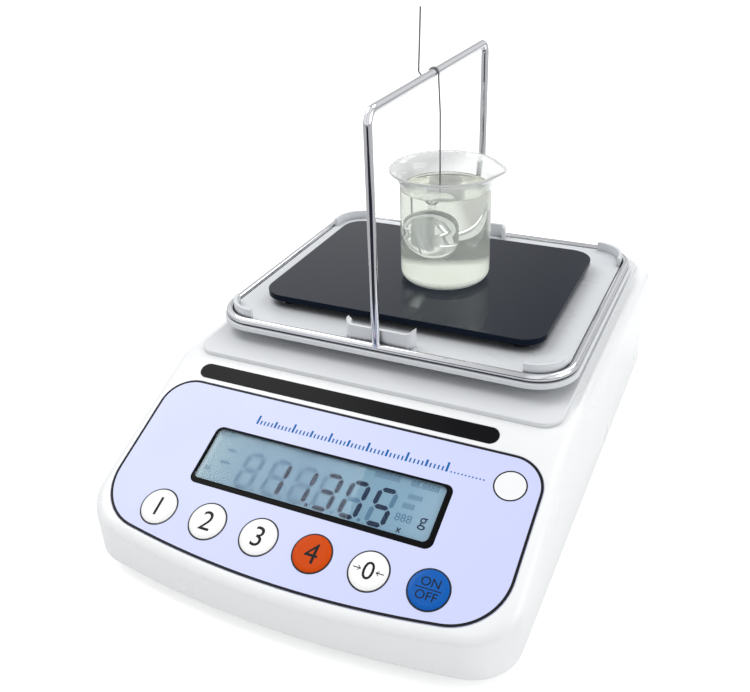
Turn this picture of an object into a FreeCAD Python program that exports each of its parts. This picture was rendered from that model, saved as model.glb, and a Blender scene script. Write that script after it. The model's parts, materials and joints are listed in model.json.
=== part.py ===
import FreeCAD, Part
import os
from math import cos, pi, radians, sin, sqrt, tan
from FreeCAD import Vector

# Benchtop density meter: a balance whose pan carries a gantry, from which a glass sinker
# hangs in a beaker that stands on a bridge over the pan.
# Millimetres. X to the right, Y to the back, Z up from the table.

os.makedirs("parts", exist_ok=True)

# ---------------------------------------------------------------- driving dimensions

# Casing
casing_width = 220.0
casing_depth = 323.0
casing_top_z = 71.5
bow_radius = 520.0
front_corner_radius = 24.0
back_corner_radius = 25.0
casing_edge_radius = 6.0
casing_wall = 2.5
panel_run = 105.8
panel_angle = 22.9
base_bottom_z = 7.0
base_floor = 2.5
shadow_gap = 1.5
base_upstand_height = 6.5
base_upstand_wall = 2.0
seam_clearance = 0.3
rib_height = 3.5
rib_thickness = 2.0

# Feet
foot_inset_x = 20.0
foot_inset_front = 36.0
foot_inset_back = 24.0
foot_pad_thickness = 2.0
foot_pad_radius = 11.0
foot_pad_recess = 0.5
foot_pad_edge = 0.6
foot_knob_radius = 13.0
foot_knob_gap = 0.5
foot_knob_edge = 0.8
foot_grip_count = 12
foot_grip_radius = 1.4
foot_stud_radius = 4.0
foot_insert_radius = 6.0
foot_boss_radius = 9.0
foot_boss_height = 9.5
foot_stud_overrun = 2.0
thread_clearance = 0.05

# Front panel
film_thickness = 0.5
film_recess = 0.3
film_clearance = 0.2
overlay_margin = 0.5
overlay_foot_margin = 1.7
overlay_gap_to_strip = 2.8
overlay_top_corner = 17.0
overlay_bottom_corner = 28.0
strip_left = -91.4
strip_right = 76.0
strip_top_s = 4.65
strip_width = 8.85
display_left = -63.3
display_right = 64.8
display_drop = 23.2
display_height = 33.0
display_corner_radius = 4.0
display_thin_border = 1.0
display_wide_border = 3.0
display_frame_depth = 1.6
window_thickness = 1.0
window_drop = 0.4
lcd_thickness = 2.8
panel_board_depth = 12.0
board_thickness = 1.6
panel_board_side_gap = 22.0
panel_board_margin = 6.0
board_screw_inset = 4.0
board_corner_radius = 2.0

# Keys
key_count = 6
key_pitch = 28.0
key_drop = 16.9
key_radius = 9.0
key_proud = 0.3
key_crown = 0.5
key_bevel = 1.6
key_clearance = 0.3
key_flange_width = 1.7
key_flange_thickness = 1.0
key_stem_radius = 2.0
switch_size = 6.0
switch_corner_radius = 0.4
switch_body_height = 3.4
switch_plunger_radius = 1.75
switch_plunger_height = 1.1
key_switch_gap = 0.7

# Deck plate and weighing pan
deck_side_margin = 8.6
deck_front_setback = 1.1
deck_back_margin = 14.5
deck_thickness = 2.6
deck_corner_radius = 11.0
deck_edge_radius = 0.8
pan_side_overhang = 0.2
pan_front_setback = 16.1
pan_back_setback = 14.4
pan_gap = 6.7
pan_corner_radius = 23.0
pan_skirt_height = 2.8
pan_floor_rise = 2.4
pan_floor_thickness = 2.0
pan_skirt_wall = 2.0
ledge_margin = 1.0
rod_seat_clearance = 0.4
lip_thickness = 2.0
lip_height = 5.3
lip_inset_front = 19.0
lip_inset_back = 18.0
lip_reach_front = 16.0
lip_reach_back = 22.0
clip_width = 38.6
clip_height = 8.4
clip_horn_rise = 2.4
clip_horn_run = 4.5
clip_round_drop = 3.0
clip_return = 3.5
clip_thickness = 2.0
pan_round = 0.7

# Wire frame, gantry, hook and sinker
loop_rod_radius = 2.0
gantry_rod_radius = 2.2
gantry_bend_radius = 6.5
gantry_bar_z = 207.0
hook_wire_radius = 0.45
hook_clearance = 0.05
hook_y = 46.0
hook_handle_pitch = 5.9
hook_handle_lean = 1.3
hook_bend_drop = 4.6
hook_bend_radius = 2.0
hook_sway = 0.9
hook_sway_drop = 18.0
hook_handle_top_z = 239.3
hook_eye_radius = 2.2
hook_eye_z = 139.9
hook_eye_open_angle = 35.0
sinker_ring_radius = 2.4
sinker_ring_wire = 0.8
sinker_radius = 10.3
sinker_neck_radius = 1.6
sinker_neck_overlap = 0.4
sinker_length = 28.0

# Platform, beaker and sample
platform_width = 162.4
platform_depth = 118.7
platform_thickness = 3.5
platform_top_z = 94.0
platform_forward = 3.35
platform_corner_radius = 13.0
platform_edge = 0.3
leg_inset_x = 13.0
leg_inset_y = 12.2
leg_radius = 4.5
leg_taper_height = 1.0
leg_foot_radius = 3.8
leg_pad_thickness = 1.0
leg_clearance = 1.5
beaker_x = 8.0
beaker_y = 43.0
beaker_radius = 25.3
beaker_height = 64.3
beaker_wall = 1.5
beaker_base = 2.2
beaker_base_round = 6.0
beaker_rim_radius = 30.6
beaker_flare_height = 9.0
beaker_spout_reach = 33.3
beaker_spout_angle = 12.0
beaker_spout_width = 18.0
beaker_spout_height = 9.0
beaker_spout_foot_width = 7.0
beaker_lip_overrun = 0.5
liquid_depth = 50.2
liquid_film = 0.05
liquid_clearance = 0.6

# Weighing mechanism
cell_length = 110.0
cell_section = 22.0
cell_floor_gap = 8.0
cell_flexure_radius = 7.5
cell_flexure_pitch = 26.0
cell_slot = 5.0
cell_mount_height = 4.5
cell_mount_length = 30.0
cell_mount_corner = 1.0
cell_mount_border = 3.0
cell_bolt_radius = 3.0
cell_bolt_head_radius = 5.0
cell_bolt_head_height = 3.0
cell_bolt_pitch = 14.0
cell_bolt_end = 8.0
cell_bolt_grip = 9.0
arm_width = 30.0
arm_thickness = 4.0
arm_boss_height = 2.0
arm_boss_length = 30.0
arm_tail = 16.0
arm_rib_height = 4.0
arm_corner_radius = 5.0
arm_boss_corner = 3.0
stem_radius = 6.0
stem_flange_radius = 10.0
stem_flange_thickness = 3.0
stem_spigot_radius = 4.0
stem_hole_radius = 10.0
cross_clearance = 3.5
cross_thickness = 3.0
cross_arm_width = 16.0
cross_pad_x = 52.0
cross_pad_y = 38.0
pan_pad_radius = 7.0
pan_pad_socket_depth = 2.0
pan_pad_socket_wall = 1.8
pan_pad_clearance = 0.2
stop_radius = 4.0
stop_gap = 0.8
stop_edge = 0.5
stop_boss_height = 3.0
stop_boss_radius = 7.0

# Circuit boards, sockets and screws
main_board_foot_gap = 6.0
main_board_cell_gap = 4.0
main_board_depth = 92.0
main_board_back_margin = 9.5
main_board_z = 16.0
standoff_radius = 3.0
board_screw_radius = 1.25
board_screw_head_radius = 2.5
board_screw_head_height = 2.0
board_screw_bite = 4.0
jack_inset = 47.0
jack_width = 9.0
jack_height = 11.0
jack_depth = 14.0
jack_collar_radius = 4.0
jack_bore_radius = 3.0
jack_pin_radius = 1.0
jack_bore_floor = 3.0
jack_pin_recess = 2.0
port_inset = 21.0
port_width = 31.0
port_height = 12.4
port_depth = 12.0
port_shell_width = 17.0
port_shell_height = 8.4
port_shell_taper = 0.35
port_shell_wall = 0.6
port_corner_radius = 1.2
port_pin_radius = 0.5
port_pin_length = 4.0
port_pin_pitch = 2.8
port_pin_row = 1.4
port_well_depth = 2.0
port_hole_clearance = 0.4
shield_can_size = (18.0, 18.0, 4.0)
shield_can_corner = 1.5
processor_size = (14.0, 14.0, 1.6)
converter_size = (10.0, 6.0, 1.8)
regulator_size = (10.0, 4.0, 12.0)
lead_header_size = (8.0, 10.0, 6.0)
ribbon_header_size = (20.0, 6.0, 4.0)
capacitor_radius = 4.0
capacitor_height = 11.0
capacitor_edge = 0.6
capacitor_pitch = 10.0
parts_left = 8.0
parts_right = 30.0
lead_radius = 1.5
lead_stand_off = 15.0
lead_rise = 3.0
ribbon_inset = 9.0
ribbon_drop = 8.0
ribbon_rise = 10.0
ribbon_bend_radius = 3.5
ribbon_thickness = 0.8
cover_boss_radius = 4.0
cover_boss_inset_x = 12.0
cover_screw_radius = 1.5
cover_screw_head_radius = 3.0
cover_screw_head_height = 2.0
cover_screw_grip = 8.0
screw_cup_radius = 6.0
screw_cup_depth = 5.0
screw_cup_floor = 2.0
cover_screw_front = 66.0
cover_screw_back = 90.0
screw_socket_width = 0.5
screw_socket_depth = 0.6

# How far a cutter runs past the face that it opens, and a joined piece into its neighbour
overrun = 1.0

# ---------------------------------------------------------------- derived places

half_width = casing_width / 2
front_y = -casing_depth / 2
back_y = casing_depth / 2
cover_bottom_z = base_bottom_z + shadow_gap
base_inside_z = base_bottom_z + base_floor
panel_start_y = front_y + panel_run
panel_length = panel_run / cos(radians(panel_angle))
panel_frame = FreeCAD.Placement(
    Vector(0, panel_start_y, casing_top_z), FreeCAD.Rotation(Vector(1, 0, 0), panel_angle))

strip_bottom_s = strip_top_s + strip_width
overlay_top_s = strip_bottom_s + overlay_gap_to_strip
overlay_half_width = half_width - casing_edge_radius - overlay_margin
edge_tangent = casing_edge_radius / tan(radians((90 + panel_angle) / 2))
overlay_bottom_s = panel_length - edge_tangent - overlay_foot_margin - film_clearance
film_top = film_thickness - film_recess
display_top_s = overlay_top_s + display_drop
display_bottom_s = display_top_s + display_height
key_s = display_bottom_s + key_drop
key_hole_radius = key_radius + key_clearance
key_xs = [key_pitch * (index - (key_count - 1) / 2) for index in range(key_count)]
panel_board_half_width = half_width - panel_board_side_gap
panel_board_top_s = display_top_s - panel_board_margin
panel_board_bottom_s = key_s + key_radius + panel_board_margin / 2

deck_half_width = half_width - deck_side_margin
deck_front_y = panel_start_y + deck_front_setback
deck_back_y = back_y - deck_back_margin
deck_top_z = casing_top_z + deck_thickness
pan_half_width = deck_half_width + pan_side_overhang
pan_front_y = deck_front_y + pan_front_setback
pan_back_y = deck_back_y - pan_back_setback
pan_centre_y = (pan_front_y + pan_back_y) / 2
pan_bottom_z = deck_top_z + pan_gap
ledge_z = pan_bottom_z + pan_skirt_height
pan_floor_z = ledge_z + pan_floor_rise
pan_underside_z = pan_floor_z - pan_floor_thickness
rod_inset = ledge_margin + loop_rod_radius
tray_inset = rod_inset + loop_rod_radius + rod_seat_clearance
loop_z = ledge_z + loop_rod_radius
loop_half_width = pan_half_width - rod_inset
loop_front_y = pan_front_y + rod_inset
loop_back_y = pan_back_y - rod_inset
loop_corner_radius = pan_corner_radius - rod_inset

platform_centre_y = pan_centre_y - platform_forward
platform_bottom_z = platform_top_z - platform_thickness
leg_xs = [side * (platform_width / 2 - leg_inset_x) for side in (-1, 1)]
leg_ys = [platform_centre_y + side * (platform_depth / 2 - leg_inset_y) for side in (-1, 1)]
leg_places = [(x, y) for x in leg_xs for y in leg_ys]
liquid_top_z = platform_top_z + beaker_base + liquid_depth

hook_turn_radius = gantry_rod_radius + hook_clearance + hook_wire_radius
hook_drop_x = hook_turn_radius + hook_sway
hook_eye_x = hook_drop_x - hook_eye_radius
hook_eye_bottom_z = hook_eye_z - hook_eye_radius
sinker_ring_z = (hook_eye_bottom_z + hook_wire_radius + hook_clearance
                 - sinker_ring_radius + sinker_ring_wire)
sinker_top_z = sinker_ring_z - sinker_ring_radius

cell_bottom_z = base_inside_z + cell_floor_gap
cell_top_z = cell_bottom_z + cell_section
cell_front_y = pan_centre_y - cell_length / 2
cell_back_y = pan_centre_y + cell_length / 2
cell_free_bolts = [cell_front_y + cell_bolt_end, cell_front_y + cell_bolt_end + cell_bolt_pitch]
cell_fixed_bolts = [cell_back_y - cell_bolt_end, cell_back_y - cell_bolt_end - cell_bolt_pitch]
stop_y = cell_front_y + cell_bolt_end + cell_bolt_pitch / 2
arm_bottom_z = cell_top_z + arm_boss_height
arm_top_z = arm_bottom_z + arm_thickness
cross_bottom_z = deck_top_z + cross_clearance
cross_top_z = cross_bottom_z + cross_thickness
cross_pads = [(x, pan_centre_y + y) for x in (-cross_pad_x, cross_pad_x) for y in (-cross_pad_y, cross_pad_y)]
mount_bottom_z = cell_bottom_z - cell_mount_height

foot_xs = [-(half_width - foot_inset_x), half_width - foot_inset_x]
foot_ys = {"front": front_y + foot_inset_front, "back": back_y - foot_inset_back}
foot_boss_top_z = base_inside_z + foot_boss_height
foot_knob_bottom_z = foot_pad_thickness - foot_pad_recess
foot_knob_top_z = base_bottom_z - foot_knob_gap

main_board_left = foot_xs[0] + foot_boss_radius + main_board_foot_gap
main_board_right = -cell_section / 2 - main_board_cell_gap
main_board_back_y = back_y - main_board_back_margin
main_board_front_y = main_board_back_y - main_board_depth
main_board_top_z = main_board_z + board_thickness
board_middle_y = (main_board_front_y + main_board_back_y) / 2
lead_header_x = -cell_section / 2 - lead_stand_off
lead_header_y = cell_fixed_bolts[1]
ribbon_header_y = main_board_front_y + 3 * board_screw_inset
main_board_screws = [(x, y)
                     for x in (main_board_left + board_screw_inset, main_board_right - board_screw_inset)
                     for y in (main_board_front_y + board_screw_inset, main_board_back_y - jack_depth)]
panel_board_screws = [(x, s)
                      for x in (board_screw_inset - panel_board_half_width,
                                panel_board_half_width - board_screw_inset)
                      for s in (panel_board_top_s + board_screw_inset,
                                panel_board_bottom_s - board_screw_inset)]
cover_screw_places = [(side * (half_width - cover_boss_inset_x), y)
                      for side in (-1, 1)
                      for y in (front_y + cover_screw_front, back_y - cover_screw_back)]
cup_top_z = base_bottom_z + screw_cup_depth + screw_cup_floor
jack_x = main_board_right - jack_inset
port_x = main_board_right - port_inset
ribbon_left = main_board_left + ribbon_inset
jack_z = main_board_top_z + jack_height / 2
port_z = main_board_top_z + port_height / 2


# ---------------------------------------------------------------- shapes used more than once

def box(x_range, y_range, z_range):
    """A plain block between two limits on each axis."""
    size = [high - low for low, high in (x_range, y_range, z_range)]
    return Part.makeBox(size[0], size[1], size[2], Vector(x_range[0], y_range[0], z_range[0]))


def post(x, y, z_range, radius):
    """An upright cylinder."""
    return Part.makeCylinder(radius, z_range[1] - z_range[0], Vector(x, y, z_range[0]))


def rounded_plate(x_range, y_range, z_range, corner_radius):
    """A flat plate with round corners."""
    plate = box(x_range, y_range, z_range)
    corners = [edge for edge in plate.Edges if is_upright(edge)]
    return plate.makeFillet(corner_radius, corners)


def is_upright(edge):
    """True for a straight edge that runs along Z."""
    bounds = edge.BoundBox
    return bounds.XLength + bounds.YLength < 1e-4


def edges_at_height(shape, z):
    """The edges of a shape that lie flat at one height."""
    return [edge for edge in shape.Edges
            if abs(edge.BoundBox.ZMin - z) + abs(edge.BoundBox.ZMax - z) < 1e-4]


def revolved(profile, x, y):
    """A closed profile of (radius, z) points, turned about the upright axis at x, y."""
    points = [Vector(x + radius, y, z) for radius, z in profile]
    face = Part.Face(Part.makePolygon(points + points[:1]))
    return face.revolve(Vector(x, y, 0), Vector(0, 0, 1), 360)


def turned_face(edges, x, y):
    """The solid that a closed outline leaves when it turns about the upright axis at x, y."""
    outline = Part.Face(Part.Wire(Part.sortEdges(edges)[0]))
    return outline.revolve(Vector(x, y, 0), Vector(0, 0, 1), 360)


def swept(path, section):
    """A section carried along a path of edges, closed at both ends."""
    return Part.Wire(path).makePipeShell([section], True, False)


def bent_path(points, bend_radius):
    """Straight runs through the points, with a tangent bend at each inner point."""
    edges = []
    start = points[0]
    for before, corner, after in zip(points, points[1:], points[2:]):
        incoming = (corner - before).normalize()
        outgoing = (after - corner).normalize()
        half_turn = incoming.getAngle(outgoing) / 2
        inwards = (outgoing - incoming).normalize()
        bend_start = corner - incoming * bend_radius * tan(half_turn)
        bend_end = corner + outgoing * bend_radius * tan(half_turn)
        bend_middle = corner + inwards * bend_radius * (1 / cos(half_turn) - 1)
        edges.append(Part.LineSegment(start, bend_start).toShape())
        edges.append(Part.Arc(bend_start, bend_middle, bend_end).toShape())
        start = bend_end
    edges.append(Part.LineSegment(start, points[-1]).toShape())
    return edges


def tangent_arc(start, leaving, end):
    """An arc between two points that leaves the first in a given direction."""
    chord = end - start
    aside = (leaving - chord * (leaving.dot(chord) / chord.dot(chord))).normalize()
    middle = (start + end) * 0.5 + aside * (chord.Length / 2 * tan(chord.getAngle(leaving) / 2))
    return Part.Arc(start, middle, end).toShape()


def outline_edges(points):
    """Straight edges through the points in turn."""
    return [Part.LineSegment(start, end).toShape() for start, end in zip(points, points[1:])]


def round_section(centre, direction, radius):
    """The circle that a round wire or rod is swept from."""
    return Part.Wire(Part.Circle(centre, direction, radius).toShape())


def screw(x, y, seat_z, length, shank_radius, head_radius, head_height, up):
    """A socket-head screw. Its head bears on seat_z and its shank points up or down."""
    way = 1 if up else -1
    shank = Part.makeCylinder(shank_radius, length, Vector(x, y, seat_z), Vector(0, 0, way))
    head = Part.makeCylinder(head_radius, head_height, Vector(x, y, seat_z), Vector(0, 0, -way))
    socket_radius = head_radius * screw_socket_width
    corners = [Vector(x + socket_radius * cos(turn * pi / 3), y + socket_radius * sin(turn * pi / 3),
                      seat_z - way * head_height) for turn in range(6)]
    socket = Part.Face(Part.makePolygon(corners + corners[:1])).extrude(
        Vector(0, 0, way * head_height * screw_socket_depth))
    return shank.fuse(head).cut(socket).removeSplitter()


def on_panel(shape):
    """Move a shape from the panel's own axes (x, up the slope, outwards) to its place."""
    placed = shape.copy()
    placed.transformShape(panel_frame.toMatrix())
    return placed


def save(node, shape):
    """Write one node of the assembly."""
    shape.exportStep("parts/" + node + ".step")


# ---------------------------------------------------------------- casing

def casing_outline(inset, z):
    """Plan of the casing moved inwards: straight sides and back, and a bowed front."""
    side = half_width - inset
    bow_centre_y = front_y + bow_radius
    bow = bow_radius - inset
    side_front_y = bow_centre_y - sqrt(bow * bow - side * side)
    front_left = Vector(-side, side_front_y, z)
    front_right = Vector(side, side_front_y, z)
    back_right = Vector(side, back_y - inset, z)
    back_left = Vector(-side, back_y - inset, z)
    edges = [Part.Arc(front_left, Vector(0, front_y + inset, z), front_right).toShape(),
             Part.LineSegment(front_right, back_right).toShape(),
             Part.LineSegment(back_right, back_left).toShape(),
             Part.LineSegment(back_left, front_left).toShape()]
    return Part.Face(Part.Wire(edges))


def casing_prism(inset, z_range):
    """The casing's plan as an upright prism with round corners."""
    prism = casing_outline(inset, z_range[0]).extrude(Vector(0, 0, z_range[1] - z_range[0]))
    for end, corner_radius in ((-1, front_corner_radius), (1, back_corner_radius)):
        corners = [edge for edge in prism.Edges if is_upright(edge) and end * edge.BoundBox.YMin > 0]
        prism = prism.makeFillet(corner_radius - inset, corners)
    return prism


def casing_form(inset, bottom_z, edge_radius):
    """The casing's solid form: flat top, sloping panel, and rounded upper edges."""
    body = casing_prism(inset, (bottom_z, casing_top_z - inset))
    reach = casing_depth
    above_panel = on_panel(box((-casing_width, casing_width), (-reach, reach), (-inset, reach)))
    body = body.cut(above_panel).removeSplitter()
    upper = [edge for edge in body.Edges
             if edge.BoundBox.ZMin > bottom_z + overrun and not is_panel_crease(edge)]
    return body.makeFillet(edge_radius, upper)


def is_panel_crease(edge):
    """True for the straight line where the sloping panel meets the flat top."""
    return edge.BoundBox.YLength < 1e-4 and edge.BoundBox.YMax < 0


def panel_slab(x_range, s_range, h_range, corner_radius):
    """A rounded rectangle on the sloping panel: s runs down the slope, h outwards."""
    return on_panel(rounded_plate(x_range, (-s_range[1], -s_range[0]), h_range, corner_radius))


def panel_disc(x, s, h_range, radius):
    """A round boss or hole square to the sloping panel."""
    return on_panel(post(x, -s, h_range, radius))


def overlay_form(grow, h_range):
    """The panel film: straight top and sides, bowed foot, round corners."""
    side = overlay_half_width + grow
    top = -(overlay_top_s - grow)
    foot = -(overlay_bottom_s + grow)
    bow = bow_radius + grow
    foot_side = foot + bow - sqrt(bow * bow - side * side)
    low = h_range[0]
    top_left = Vector(-side, top, low)
    top_right = Vector(side, top, low)
    foot_right = Vector(side, foot_side, low)
    foot_left = Vector(-side, foot_side, low)
    edges = [Part.Arc(foot_left, Vector(0, foot, low), foot_right).toShape(),
             Part.LineSegment(foot_right, top_right).toShape(),
             Part.LineSegment(top_right, top_left).toShape(),
             Part.LineSegment(top_left, foot_left).toShape()]
    film = Part.Face(Part.Wire(edges)).extrude(Vector(0, 0, h_range[1] - low))
    top_corners = [edge for edge in film.Edges if is_upright(edge) and edge.BoundBox.YMin > top - 1]
    film = film.makeFillet(overlay_top_corner + grow, top_corners)
    foot_corners = [edge for edge in film.Edges if is_upright(edge) and edge.BoundBox.YMin < (top + foot) / 2
                    and abs(abs(edge.BoundBox.XMin) - side) < 1e-3]
    return on_panel(film.makeFillet(overlay_bottom_corner + grow, foot_corners))


def strip_form(grow, h_range):
    """The pill-shaped label strip above the panel film."""
    return panel_slab((strip_left - grow, strip_right + grow),
                      (strip_top_s - grow, strip_bottom_s + grow), h_range,
                      strip_width / 2 + grow - 0.01)


def display_form(grow, h_range):
    """The outside of the display frame."""
    return panel_slab((display_left - grow, display_right + grow),
                      (display_top_s - grow, display_bottom_s + grow), h_range,
                      display_corner_radius + grow)


def display_opening(grow, h_range):
    """The opening of the display frame, with its wider borders at the right and the foot."""
    return panel_slab((display_left + display_thin_border - grow, display_right - display_wide_border + grow),
                      (display_top_s + display_thin_border - grow,
                       display_bottom_s - display_wide_border + grow), h_range,
                      display_corner_radius - display_thin_border + grow)


def port_form(grow, y_range):
    """The serial port's D-shaped prism, wider at the top than at the foot."""
    half = port_shell_width / 2 + grow
    half_height = port_shell_height / 2 + grow
    foot_half = half - half_height * port_shell_taper
    points = [Vector(port_x - half, y_range[0], port_z + half_height),
              Vector(port_x + half, y_range[0], port_z + half_height),
              Vector(port_x + foot_half, y_range[0], port_z - half_height),
              Vector(port_x - foot_half, y_range[0], port_z - half_height)]
    face = Part.Face(Part.makePolygon(points + points[:1]))
    prism = face.extrude(Vector(0, y_range[1] - y_range[0], 0))
    along = [edge for edge in prism.Edges
             if edge.BoundBox.XLength + edge.BoundBox.ZLength < 1e-4]
    return prism.makeFillet(port_corner_radius, along)


def top_cover():
    outer = casing_form(0, cover_bottom_z, casing_edge_radius)
    inner = casing_form(casing_wall, cover_bottom_z - overrun, casing_edge_radius - casing_wall)
    shell = outer.cut(inner)
    bosses = [post(x, y, (cup_top_z, casing_top_z), cover_boss_radius).common(inner)
              for x, y in cover_screw_places]
    bosses += [panel_disc(x, s, (-panel_board_depth, -casing_wall / 2), standoff_radius)
               for x, s in panel_board_screws]
    cover = shell.multiFuse(bosses).removeSplitter()
    cuts = [overlay_form(film_clearance, (-film_recess, casing_wall)),
            strip_form(film_clearance, (-film_recess, casing_wall)),
            display_form(film_clearance, (-casing_wall * 2, overrun)),
            post(0, pan_centre_y, (casing_top_z - 2 * casing_wall, casing_top_z + overrun), stem_hole_radius)]
    cuts += [panel_disc(x, key_s, (-casing_wall * 2, overrun), key_hole_radius) for x in key_xs]
    cuts += [post(x, y, (cup_top_z - overrun, cup_top_z + cover_screw_grip), cover_screw_radius)
             for x, y in cover_screw_places]
    cuts += [panel_disc(x, s, (-panel_board_depth - overrun, -panel_board_depth + board_screw_bite),
                        board_screw_radius) for x, s in panel_board_screws]
    cuts.append(Part.makeCylinder(jack_collar_radius + port_hole_clearance, 4 * casing_wall,
                                  Vector(jack_x, back_y - 2 * casing_wall, jack_z), Vector(0, 1, 0)))
    cuts.append(port_form(port_hole_clearance, (back_y - 2 * casing_wall, back_y + overrun)))
    return cover.cut(Part.makeCompound(cuts))


def base_shell():
    wall_inset = casing_wall + seam_clearance
    rim = casing_prism(shadow_gap, (base_bottom_z, cover_bottom_z))
    floor = rim.fuse(casing_prism(wall_inset, (cover_bottom_z, base_inside_z)))
    wall_top_z = base_inside_z + base_upstand_height
    upstand = casing_prism(wall_inset, (base_inside_z, wall_top_z)).cut(
        casing_prism(wall_inset + base_upstand_wall, (base_inside_z, wall_top_z)))
    inside = casing_prism(wall_inset + base_upstand_wall / 2, (base_inside_z, wall_top_z))
    rib_range = (base_inside_z, base_inside_z + rib_height)
    rib_x = cell_section / 2 + 3 * rib_thickness
    ribs = [box((x - rib_thickness / 2, x + rib_thickness / 2), (front_y, back_y), rib_range).common(inside)
            for x in (-rib_x, rib_x)]
    ribs += [box((-half_width, half_width), (y - rib_thickness / 2, y + rib_thickness / 2),
                 rib_range).common(inside)
             for y in (cell_front_y - arm_tail, cell_back_y + arm_tail)]
    solids = [upstand] + ribs
    solids += [post(x, y, (base_inside_z, foot_boss_top_z), foot_boss_radius)
               for x in foot_xs for y in foot_ys.values()]
    solids += [post(x, y, (base_bottom_z, cup_top_z), screw_cup_radius) for x, y in cover_screw_places]
    solids += [post(x, y, (base_inside_z, main_board_z), standoff_radius) for x, y in main_board_screws]
    pad_half = cell_section / 2 + cell_mount_border
    solids.append(rounded_plate((-pad_half, pad_half),
                                (cell_back_y - cell_mount_length - cell_mount_border,
                                 cell_back_y + cell_mount_border),
                                (base_bottom_z, mount_bottom_z), cell_mount_border))
    solids.append(post(0, stop_y, (base_inside_z, base_inside_z + stop_boss_height), stop_boss_radius))
    shell = floor.multiFuse(solids).removeSplitter()
    cuts = [post(x, y, (base_bottom_z - overrun, foot_boss_top_z + overrun), foot_insert_radius)
            for x in foot_xs for y in foot_ys.values()]
    for x, y in cover_screw_places:
        cuts.append(post(x, y, (base_bottom_z - overrun, base_bottom_z + screw_cup_depth),
                         cover_screw_head_radius + seam_clearance))
        cuts.append(post(x, y, (base_bottom_z, cup_top_z + overrun), cover_screw_radius + seam_clearance))
    cuts += [post(x, y, (main_board_z - board_screw_bite, main_board_z + overrun), board_screw_radius)
             for x, y in main_board_screws]
    for y in cell_fixed_bolts:
        cuts.append(post(0, y, (base_bottom_z - overrun, base_bottom_z + cell_bolt_head_height),
                         cell_bolt_head_radius + seam_clearance))
        cuts.append(post(0, y, (base_bottom_z, mount_bottom_z + overrun), cell_bolt_radius + seam_clearance))
    cuts.append(post(0, stop_y, (base_inside_z, base_inside_z + stop_boss_height + overrun), stop_radius / 2))
    return shell.cut(Part.makeCompound(cuts))


def cover_screws():
    seat_z = base_bottom_z + screw_cup_depth
    length = screw_cup_floor + cover_screw_grip
    return Part.makeCompound([
        screw(x, y, seat_z, length, cover_screw_radius, cover_screw_head_radius,
              cover_screw_head_height, True) for x, y in cover_screw_places])


# ---------------------------------------------------------------- feet

def foot_knob(x, y):
    """A scalloped disc and its threaded stud, in one moulding."""
    knob = post(x, y, (foot_knob_bottom_z, foot_knob_top_z), foot_knob_radius)
    rims = edges_at_height(knob, foot_knob_bottom_z) + edges_at_height(knob, foot_knob_top_z)
    knob = knob.makeChamfer(foot_knob_edge, rims)
    grips = []
    for index in range(foot_grip_count):
        turn = 2 * pi * index / foot_grip_count
        grips.append(post(x + foot_knob_radius * cos(turn), y + foot_knob_radius * sin(turn),
                          (0, base_bottom_z), foot_grip_radius))
    recess = post(x, y, (0, foot_pad_thickness), foot_pad_radius)
    stud = post(x, y, (foot_pad_thickness + overrun, foot_boss_top_z + foot_stud_overrun), foot_stud_radius)
    return knob.cut(Part.makeCompound(grips + [recess])).fuse(stud).removeSplitter()


def foot_pad(x, y):
    """A rubber disc with a bevelled lower edge, let into the foot."""
    pad = post(x, y, (0, foot_pad_thickness), foot_pad_radius)
    return pad.makeChamfer(foot_pad_edge, edges_at_height(pad, 0))


def foot_inserts():
    """Flanged brass threads pressed into the base bosses."""
    solids = []
    for x in foot_xs:
        for y in foot_ys.values():
            insert = post(x, y, (base_bottom_z, foot_boss_top_z), foot_insert_radius)
            thread = post(x, y, (0, casing_top_z), foot_stud_radius + thread_clearance)
            solids.append(insert.cut(thread))
    return Part.makeCompound(solids)


# ---------------------------------------------------------------- front panel

def control_overlay():
    film = overlay_form(0, (-film_recess, film_top))
    holes = [panel_disc(x, key_s, (-overrun, overrun), key_hole_radius) for x in key_xs]
    return film.cut(Part.makeCompound(holes + [display_form(0, (-overrun, overrun))]))


def label_strip():
    return strip_form(0, (-film_recess, film_top))


def display_frame():
    """A moulded black surround that reaches through the cover to the glass."""
    return display_form(0, (-display_frame_depth, film_top)).cut(
        display_opening(0, (-display_frame_depth - overrun, overrun)))


def display_window():
    return display_opening(0, (-window_drop - window_thickness, -window_drop))


def lcd_panel():
    return display_form(0, (-display_frame_depth - lcd_thickness, -display_frame_depth))


def lcd_backlight():
    return display_form(0, (-panel_board_depth, -display_frame_depth - lcd_thickness))


def panel_board():
    board = panel_slab((-panel_board_half_width, panel_board_half_width),
                       (panel_board_top_s, panel_board_bottom_s),
                       (-panel_board_depth - board_thickness, -panel_board_depth), board_corner_radius)
    holes = [panel_disc(x, s, (-2 * panel_board_depth, 0), board_screw_radius + seam_clearance)
             for x, s in panel_board_screws]
    return board.cut(Part.makeCompound(holes))


def key_switches():
    """Tact switches with round plungers, one under each key."""
    solids = []
    for x in key_xs:
        half = switch_size / 2
        body_top = -panel_board_depth + switch_body_height
        body = panel_slab((x - half, x + half), (key_s - half, key_s + half),
                          (-panel_board_depth, body_top), switch_corner_radius)
        plunger = panel_disc(x, key_s, (-panel_board_depth, body_top + switch_plunger_height),
                             switch_plunger_radius)
        solids.append(body.fuse(plunger).removeSplitter())
    return Part.makeCompound(solids)


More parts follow.
